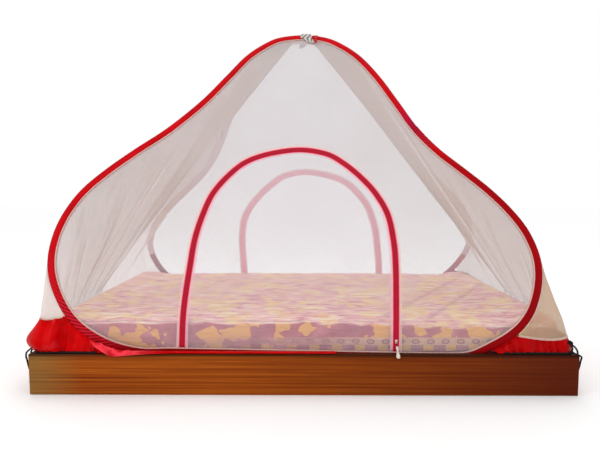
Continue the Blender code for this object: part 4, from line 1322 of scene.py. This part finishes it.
def buildSlider(name, material, wire):
    height = slider["height"]
    lowest = zipShape["rows"][0]
    x = float(np.interp(height, [ends["railTop"], lowest[0]], [zipShape["foot"][1], lowest[2]]))
    base, above = onPanel(np.array([[x, slantOf(height)], [x, slantOf(height + 0.002)]]))
    lean = math.atan2(above[1] - base[1], above[2] - base[2])
    wide, thick, tall = slider["size"]
    # body: a rounded shield, wider at its top
    deselect()
    bpy.ops.mesh.primitive_cube_add(size=1)
    body = bpy.context.object
    body.name = body.data.name = "zip_slider_" + name
    bpy.ops.object.mode_set(mode="EDIT")
    bpy.ops.mesh.subdivide(number_cuts=5)
    bpy.ops.object.mode_set(mode="OBJECT")
    cube = meshPoints(body)
    taper = 0.80 + 0.20 * np.clip(cube[:, 2] * 2 + 0.4, 0, 1)
    pinch = 1 - 0.22 * np.clip(-cube[:, 2] * 2 - 0.5, 0, 1)
    out = slider["tapeTop"] + (0.5 - cube[:, 1]) * thick
    local = np.stack([cube[:, 0] * wide * taper * pinch, out, cube[:, 2] * tall], axis=1)
    setPoints(body, onSide(name, leaning(local, base, lean)))
    rounding = body.modifiers.new("rounding", "BEVEL")
    rounding.width = slider["rounding"]
    rounding.segments = 3
    rounding.angle_limit = math.radians(50)
    bpy.ops.object.modifier_apply(modifier=rounding.name)
    faceOutwards()
    bpy.ops.object.shade_smooth_by_angle(angle=math.radians(40))
    dress(body, material, "bright_zip_metal", "slider_" + name)

    # bridge: a small hoop of metal over the body
    turn = np.linspace(0, math.pi, 15)
    rise, reach = slider["bridge"]
    arc = [0 * turn, slider["tapeTop"] + thick - 0.0004 + rise * np.sin(turn), reach * np.cos(turn)]
    arc = onSide(name, leaning(np.stack(arc, axis=1), base, lean))
    pipe("slider_bridge_" + name, arc, slider["linkRadius"], material, "bright_zip_metal")

    # pull: a flat teardrop with a rim, on a link of dark wire
    start, tip = (np.array([x, -out, up]) for out, up in (slider["pullTop"], slider["pullTip"]))
    down = (tip - start) / np.linalg.norm(tip - start)
    face = np.cross(down, (1, 0, 0))
    face *= -1 if face[1] > 0 else 1
    linkEnd = mix(start, tip, slider["linkShare"])
    link = onSide(name, np.linspace(start, linkEnd, 12))
    pipe("zip_link_" + name, link, slider["linkRadius"], wire, "bright_zip_metal")
    start = linkEnd - down * 0.002
    long = float(np.linalg.norm(tip - start))
    columns, rows = slider["pullGrid"]

    def rounded(share, ending):  # 1, and down a quarter circle over the ending
        return np.maximum(np.sqrt(np.clip(1 - np.clip(1 - share / ending, 0, 1) ** 2, 0, 1)), 0.15)

    def place(column, row):
        share = column / columns
        across = row / rows * 2 - 1
        size = np.interp(share, *np.array(slider["pullHalf"]).T)
        size = size * np.minimum(rounded(share, 0.06), rounded(1 - share, 0.14))
        rim = slider["rim"] * ease((np.abs(across) - 0.6) / 0.25)
        points = start + down * (share * long)[:, None] + face * rim[:, None]
        points[:, 0] += across * size
        return onSide(name, points), (share * long, across * size)

    pull = layGrid("zip_pull_" + name, columns, rows, place)
    thicken(pull, slider["pullThickness"])
    dress(pull, material, "bright_zip_metal", "pull_" + name)


zinc = castZinc()
wire = steelLink()
for sideName in sides:
    buildSlider(sideName, zinc, wire)
print("sliders made")

# Peak: a tape tied over both hoops, and a small red fold of the binding beside it

peak = {
    "middle": 0.015,
    "away": (0, 0.45, 1),  # over the top, half way down and at the ends
    "widths": (0.036, 0.052, 0.016),
    "shifts": (0.0, -0.002, 0.026),
    "drops": (0.056, 0.048, 0.040, 0.032, 0.022, 0.012, 0.004),
    "step": 0.0025,
    "rows": 32,
    "out": 0.0046,
    "crease": 0.0030,
    "thickness": 0.0012,
    "length": 0.09,
    "tabMiddle": 0.057,
    "tabGrid": (14, 18),
    "tabWidth": 0.019,
    "tabDrop": 0.006,
    "tabLength": 0.060,
    "tabEnd": 0.35,
    "tabLifts": (0.0042, 0.0075, 0.0095, 0.0110),
}


def tieTape():  # bleached cotton tape, creased and matt, with painted shade in the hollows of its folds
    material, add = newMaterial("cotton_tie_tape")
    crease = add("Attribute", attribute_name="crease")
    # painted shade in the fold hollows, lighter on the ridges
    stops = [(0.0, "#2E2A2C"), (0.35, "#7C7874"), (0.65, "#B4ADA6"), (1.0, "#D6D0CA")]
    colour = add("ValToRGB", [crease], stops=stops)
    # plain weave, 0.5 mm apart, drawn 1.5 mm
    uv = add("TexCoord")
    weave = add("TexWave", {"Vector": uv, "Scale": waveScale(0.0015)})
    bump = add("Bump", {"Strength": 0.3, "Distance": 0.0004, "Height": weave})
    feed(material, {"Base Color": colour, "Roughness": 0.8, "Normal": bump})
    return material


def buildPeak(material, satin):
    top = float(slantOf(tent["peak"]))
    fall = onPanel(np.array([[0, top - drop] for drop in peak["drops"]]), peak["out"])
    over = np.array([[0, -tent["peakDepth"], tent["peak"] + peak["out"]]])
    wrap = smooth(np.concatenate([fall, over, turned(over), turned(fall[::-1])]), 4)
    along = lengthsAlong(wrap)
    wrap = resample(np.linspace(0, along[-1], int(along[-1] / peak["step"]) + 1), along, wrap)
    columns, rows = len(wrap) - 1, peak["rows"]
    outward = unit(np.cross(np.gradient(wrap, axis=0), (1, 0, 0)))
    outward *= np.sign(outward[len(outward) // 2, 2])

    def fold(column, row):
        across = row / rows
        slanted = across + 0.9 * np.abs(2 * column / columns - 1) + 0.08 * np.sin(column / columns * 11)
        ridge = np.abs(np.cos(math.pi * slanted * 2.3)) ** 1.4
        return 0.8 * ridge + 0.2 * (0.5 + 0.5 * np.cos(2 * math.pi * slanted * 7.5 + 1))

    def place(column, row):
        away = np.abs(2 * column / columns - 1)
        across = (row / rows - 0.5) * np.interp(away, peak["away"], peak["widths"])
        aside = np.interp(away, peak["away"], peak["shifts"]) * np.where(column * 2 < columns, 1, -1)
        points = wrap[column] + outward[column] * (peak["crease"] * (fold(column, row) - 0.3))[:, None]
        points[:, 0] = peak["middle"] + aside + across + 0.001 * np.sin(column * 0.9)
        return points, (column / columns * peak["length"], across)

    tie = layGrid("tie_tape", columns, rows, place, {"crease": fold})
    thicken(tie, peak["thickness"])
    dress(tie, material, "grey_tie_tape", "peak_tie")

    tabColumns, tabRows = peak["tabGrid"]

    def tabPlace(column, row):
        share = row / tabRows
        across = column / tabColumns - 0.5
        wide = peak["tabWidth"] * mix(1, peak["tabEnd"], share**1.3)
        lift = np.interp(share, np.linspace(0, 1, 4), peak["tabLifts"])
        lift = lift + 0.0012 * np.cos(across * 2 * math.pi * 1.5) * np.sin(math.pi * share)
        slant = top - mix(peak["tabDrop"], peak["tabLength"], share)
        points = onPanel(np.stack([peak["tabMiddle"] + across * wide, slant], axis=1), lift)
        return points, (across * wide, share * 0.034)

    tab = layGrid("satin_tab", tabColumns, tabRows, tabPlace)
    thicken(tab, peak["thickness"])
    dress(tab, satin, "red_satin", "peak_tab")


buildPeak(tieTape(), satinMaterial)
print("peak tied")

# Mattress: printed cotton over a thin cotton filling, wrinkled on top

mattress = {
    "half": (0.9525, 0.508),
    "bottom": 0.1153,
    "top": 0.265,
    "rise": 0.008,
    "rounding": 0.030,
    "draw": 0.004,  # of the walls between their seams
    "bulge": 0.0022,
    "cuts": 79,
    "crowding": 0.85,
    "wrinkle": 0.0050,
    "endLift": 0.007,
    "slump": 0.0100,  # how far the upper edge sinks in places
    "creases": ((1.45, -1.17), (1.47, -0.925)),  # folds across the top: slope, start
    "creaseWidth": 0.014,
    "fill": 0.7,
}


def printedCotton():
    # plain-weave cotton, printed in mauve, pink and mustard, soft and crumpled from washing
    material, add = newMaterial("printed_cotton_ticking")
    flat = add("TexCoord")  # the cloth laid flat, in metres
    titles = ("top", "height", "fold", "run")
    parts = {title: add("Attribute", attribute_name=title) for title in titles}
    sway = add("TexNoise", {"Vector": flat, "Scale": 24.0, "Detail": 2.0}, "Color")
    warped = add("VectorMath", (sway, (0.035, 0.035, 0), flat), operation="MULTIPLY_ADD")
    cells = add("TexVoronoi", {"Vector": warped, "Scale": 21.0, "Randomness": 0.9}, "Color")
    parts["cell"] = add("SeparateColor", [cells])
    parts["dot"] = add("TexVoronoi", {"Vector": warped, "Scale": 30.0, "Randomness": 0.8})
    for title, scale in (("tone", 14.0), ("region", 4.5)):
        parts[title] = add("TexNoise", {"Vector": flat, "Scale": scale, "Detail": 3.0})
    parts["clear"] = add("MapRange", (parts["run"], -0.5, 0.3, 0.0, 0.9))
    steps = (
        # uneven patches, and small dots between them
        ("patch", "GREATER_THAN", "cell", 0.74), ("dotted", "LESS_THAN", "dot", 0.23),
        ("dense", "GREATER_THAN", "region", 0.48), ("dotted", "MULTIPLY", "dotted", "dense"),
        ("shapes", "MAXIMUM", "patch", "dotted"), ("ink", "MULTIPLY", "shapes", 0.92),
        # rings 56 mm apart along the lower edge, with a dot in each
        ("turns", "MULTIPLY", "run", 1 / 0.056), ("turn", "FRACT", "turns", 0.0),
        ("step", "SUBTRACT", "turn", 0.5), ("wide", "MULTIPLY", "step", 3.6),
        ("over", "SUBTRACT", "height", 0.43), ("rise", "MULTIPLY", "over", 15.0),
        ("rise", "MULTIPLY", "rise", "rise"), ("wide", "MULTIPLY", "wide", "wide"),
        ("square", "ADD", "rise", "wide"), ("away", "SQRT", "square", 0.0),
        ("outside", "GREATER_THAN", "away", 0.50), ("inside", "LESS_THAN", "away", 0.98),
        ("ring", "MULTIPLY", "outside", "inside"), ("middle", "LESS_THAN", "away", 0.22),
        ("ring", "MAXIMUM", "ring", "middle"), ("ring", "MULTIPLY", "ring", "clear"),
        # a row of blocks 85 mm apart below them
        ("turns", "MULTIPLY", "run", 1 / 0.085), ("turn", "FRACT", "turns", 0.0),
        ("step", "SUBTRACT", "turn", 0.5), ("beside", "ABSOLUTE", "step", 0.0),
        ("block", "LESS_THAN", "beside", 0.22), ("low", "LESS_THAN", "height", 0.34),
        ("bare", "GREATER_THAN", "height", 0.2), ("low", "MULTIPLY", "low", "bare"),
        ("block", "MULTIPLY", "block", "low"), ("block", "MULTIPLY", "block", "clear"),
        # the paler band that both stand in
        ("band", "GREATER_THAN", "height", 0.34), ("band", "MULTIPLY", "band", "clear"),
        ("border", "LESS_THAN", "height", 0.53), ("border", "MULTIPLY", "border", "clear"),
        ("band", "MULTIPLY", "band", "border"),
        ("shadow", "MULTIPLY", "fold", 0.6), ("faint", "MULTIPLY", "shapes", 0.28),
    )
    for title, kind, first, second in steps:
        parts[title] = add("Math", (parts[first], parts.get(second, second)), operation=kind)
    # top: the same print paler, with painted light and shade along its crumples, from the noise that also
    # raises them
    squeeze = add("Mapping", {"Vector": flat, "Scale": (7.0, 34.0, 1)})
    noise = {"Vector": squeeze, "Scale": 1.6, "Detail": 8.0, "Distortion": 1.0}
    parts["streak"] = add("TexNoise", noise)
    noise = {"Vector": flat, "Scale": 9.0, "Detail": 3.0, "Distortion": 0.8}
    parts["golden"] = add("MapRange", (add("TexNoise", noise), 0.51, 0.57))
    dyes = (
        ("mauve", "tone", (0.35, "#AE4458"), (0.5, "#C05866"), (0.65, "#D0727E")),
        ("lilac", "tone", (0.35, "#A4566C"), (0.5, "#B2667A"), (0.65, "#C07C8C")),
        ("pink", "streak", (0.34, "#D2808E"), (0.43, "#E8A4A8"), (0.50, "#F4BAB6"), (0.57, "#FACEC2"),
            (0.66, "#FDE8D8")),
        ("gold", "streak", (0.34, "#E29E88"), (0.43, "#F6C090"), (0.52, "#FBD69E"), (0.63, "#FEECC4")),
    )
    for title, share, *stops in dyes:
        parts[title] = add("ValToRGB", [parts[share]], stops=stops)
    layers = (
        ("walls", "ink", "mauve", "#F2AC3C"),
        ("walls", "border", "walls", "lilac"),
        ("walls", "band", "walls", "#E8B48C"),
        ("walls", "ring", "walls", "#A4546C"),
        ("walls", "block", "walls", "#EFB24A"),
        ("upper", "golden", "pink", "gold"),
        ("upper", "faint", "upper", "#F2CC8A"),
        ("upper", "shadow", "upper", "#B4607A"),
        ("all", "top", "walls", "upper"),
    )
    for title, share, below, above in layers:
        inputs = {"Factor": parts[share], "A": parts[below], "B": parts.get(above, above)}
        parts[title] = add("Mix", inputs, data_type="RGBA")
    # threads 0.4 mm apart, drawn 2 mm, under crumples a finger wide
    weave = add("TexWave", {"Vector": flat, "Scale": waveScale(0.002)})
    fine = add("Bump", {"Strength": 0.15, "Distance": 0.0003, "Height": weave})
    crumple = {"Strength": 1.0, "Distance": 0.010, "Height": parts["streak"], "Normal": fine}
    bump = add("Bump", crumple)
    feed(material, {"Base Color": parts["all"], "Roughness": 0.85, "Specular IOR Level": 0.1, "Normal": bump})
    return material


def buildMattress(material):
    deselect()
    bpy.ops.mesh.primitive_cube_add(size=2)
    pad = bpy.context.object
    pad.name = pad.data.name = "mattress_pad"
    bpy.ops.object.mode_set(mode="EDIT")
    bpy.ops.mesh.subdivide(number_cuts=mattress["cuts"])
    bpy.ops.object.mode_set(mode="OBJECT")
    cube = meshPoints(pad)
    height = mattress["top"] - mattress["bottom"]
    half = np.array([*mattress["half"], height / 2])
    place = np.sign(cube) * np.abs(cube) ** mattress["crowding"]
    # rounded along every edge
    core = half - mattress["rounding"]
    inside = np.clip(place * half, -core, core)
    reach = place * half - inside
    long = np.linalg.norm(reach, axis=1)[:, None]
    points = inside + np.where(long > 0, reach / np.maximum(long, 1e-9), 0) * mattress["rounding"]
    level = points[:, 2] / half[2]
    walls = np.where(np.abs(cube[:, :2]) > 0.999, np.sign(cube[:, :2]), 0)
    upper = cube[:, 2] > 0.999
    points[:, :2] -= walls * (mattress["draw"] * (1 - level**2))[:, None]
    middle = (1 - (points[:, 0] / half[0]) ** 2) * (1 - (points[:, 1] / half[1]) ** 2)
    points[:, 2] += np.where(place[:, 2] > 0, mattress["rise"] * middle * np.clip(place[:, 2], 0, 1), 0)
    # wrinkles and two long creases on top, ends a little higher, and an uneven slump along the edges
    x, y = points[:, 0].copy(), points[:, 1].copy()
    wrinkle = ripple(x * 0.35, y * 1.4, 0.06, 71, 9) + 0.7 * ripple(x, y, 0.10, 72, 7)
    crease = sum(bell(y - lean * x - start, mattress["creaseWidth"]) for lean, start in mattress["creases"])
    fade = np.clip(middle * 6, 0, 1)
    ending = ease((np.abs(x) - 0.78) / 0.08)
    shoulder = ease((level - 0.55) / 0.45) * (1 - fade)
    sunken = mattress["slump"] * (1 + 0.5 * ease((x - 0.1) / 0.5)) * (1 - ending)
    raised = mattress["wrinkle"] * fade * (0.5 * wrinkle - 0.9 * crease)
    raised = raised + mattress["endLift"] * ending * ease((0.95 - np.abs(x)) / 0.04)
    points[:, 2] += np.where(upper, raised, 0)
    points[:, 2] -= sunken * shoulder * (0.6 + 0.5 * ripple(x + 0.7 * y, x - y, 0.17, 74, 6))
    between = walls.any(axis=1) & (np.abs(cube[:, 2]) < 0.99)
    bulge = mattress["bulge"] * (ripple(x + y, points[:, 2] * 1.5, 0.14, 73, 6) * between - 1)
    points[:, :2] += walls * bulge[:, None]
    points[:, 2] += mattress["bottom"] + half[2]
    setPoints(pad, points)
    # lay the print flat: on the top by place, and down the sides by height
    setFlat(pad, points[:, :2] + walls * (mattress["top"] - points[:, 2])[:, None])
    x, y = points[:, 0], points[:, 1]
    edgeWave = 0.07 * ripple(x + y, x - y, 0.09, 75, 6) + 0.22 * ease((x - 0.1) / 0.5)
    edgeWave += 1.2 * ease((np.abs(x) - 0.915) / 0.02) * ease((y + 0.36) / 0.1)
    addAttribute(pad, "top", ease((level + edgeWave - 0.74) / 0.08))
    addAttribute(pad, "fold", np.where(upper, np.minimum(crease, 1), 0))
    addAttribute(pad, "run", np.where(walls[:, 0] != 0, y, x))
    addAttribute(pad, "height", np.clip((points[:, 2] - mattress["bottom"]) / height, 0, 1))
    bpy.ops.object.shade_smooth()
    dress(pad, material, "printed_cotton", "mattress")


buildMattress(printedCotton())
print("mattress filled")

# Bed base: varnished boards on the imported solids

boards = {"rail_front": 0, "rail_back": 0, "rail_left": 1, "rail_right": 1, "deck": 0}  # grain's axis


def varnishedBoard(name, axis):
    # stained softwood under satin varnish: long narrow streaks, olive at one end, with painted shade
    # darkening it towards the other
    material, add = newMaterial(name)
    place = add("TexCoord", out="Object")
    along = add("SeparateXYZ", [place], "XYZ"[axis])
    up = add("SeparateXYZ", [place], "Z")
    grains = []
    for lengthwise, across, detail in ((0.22, 8.0, 4.0), (0.3, 42.0, 4.0), (1.6, 260.0, 3.0)):
        stretch = [across] * 3
        stretch[axis] = lengthwise
        turn = add("Mapping", {"Vector": place, "Scale": stretch})
        grain = {"Vector": turn, "Scale": 3.0, "Detail": detail, "Distortion": 0.2}
        grains.append(add("TexNoise", grain))
    broad, streaks, fibre = grains
    both = add("Mix", {"Factor": 0.62, "A": broad, "B": streaks})
    stops = [(0.34, "#6A2402"), (0.43, "#843806"), (0.50, "#964408"), (0.58, "#AA5610"), (0.67, "#8C3E06")]
    colour = add("ValToRGB", [both], stops=stops)
    layers = (
        (along, -0.97, -0.80, 0.75, 0.0, "#8B6A35"),  # sapwood
        (along, -0.3, 0.95, 0.0, 0.9, "#4E0F01"),  # painted shade, darker towards the right end (the back on the cross boards)
        (fibre, 0.4, 0.6, 0.35, 0.0, "#3C1405"),
        (up, 0.138, 0.146, 0.0, 0.8, "#230A02"),  # painted shadow along the upper edge, under the skirts and strips
    )
    for value, start, end, first, last, code in layers:
        share = add("MapRange", (value, start, end, first, last))
        colour = add("Mix", {"Factor": share, "A": colour, "B": code}, data_type="RGBA")
    bump = add("Bump", {"Strength": 0.3, "Distance": 0.0006, "Height": fibre})
    feed(material, {"Base Color": colour, "Roughness": 0.45, "Specular IOR Level": 0.06, "Normal": bump})
    return material


def buildBed():
    finishes = [varnishedBoard("varnished_board_long", 0), varnishedBoard("varnished_board_cross", 1)]
    for name, axis in boards.items():
        for part in bpy.data.objects[name].material_slots:
            part.material = finishes[axis]


buildBed()
print("bed base finished")

# Studio: pale floor and soft light

studio = {
    "floor": 40.0,
    "floorDrop": 0.001,
    "world": 1.0,
    "aim": (0, 0, 0.5),
    "lamps": (  # place, power, size
        ("key", (-3.0, -2.6, 2.6), 22, 1.6),
        ("fill", (2.6, -2.6, 2.4), 2, 2.4),
        ("top", (0.2, 0.4, 3.6), 16, 2.6),
    ),
}


def buildStudio():
    deselect()
    bpy.ops.mesh.primitive_grid_add(x_subdivisions=8, y_subdivisions=8, size=studio["floor"])
    floor = bpy.context.object
    floor.name = floor.data.name = "studio_floor"
    setPoints(floor, meshPoints(floor) - np.array([0, 0, studio["floorDrop"]]))
    material, add = newMaterial("white_studio_paper")  # seamless paper, matt
    paper = add("TexNoise", {"Scale": 3.0})
    tone = add("ValToRGB", [paper], stops=[(0, "#FDFDFD"), (1, "#FFFFFF")])
    feed(material, {"Base Color": tone, "Roughness": 0.9})
    floor.data.materials.append(material)
    world = bpy.data.worlds.new("studio")
    bpy.context.scene.world = world
    world.use_nodes = True
    background = world.node_tree.nodes["Background"]
    background.inputs["Color"].default_value = linear("#FFFFFF")
    background.inputs["Strength"].default_value = studio["world"]
    for name, place, power, size in studio["lamps"]:
        bpy.ops.object.light_add(type="AREA", location=place)
        lamp = bpy.context.object
        lamp.name = "lamp_" + name
        lamp.data.energy = power
        lamp.data.size = size
        lamp.rotation_euler = (Vector(studio["aim"]) - Vector(place)).to_track_quat("-Z", "Y").to_euler()
    bpy.context.scene.view_settings.view_transform = "Standard"


buildStudio()
print("studio lit")
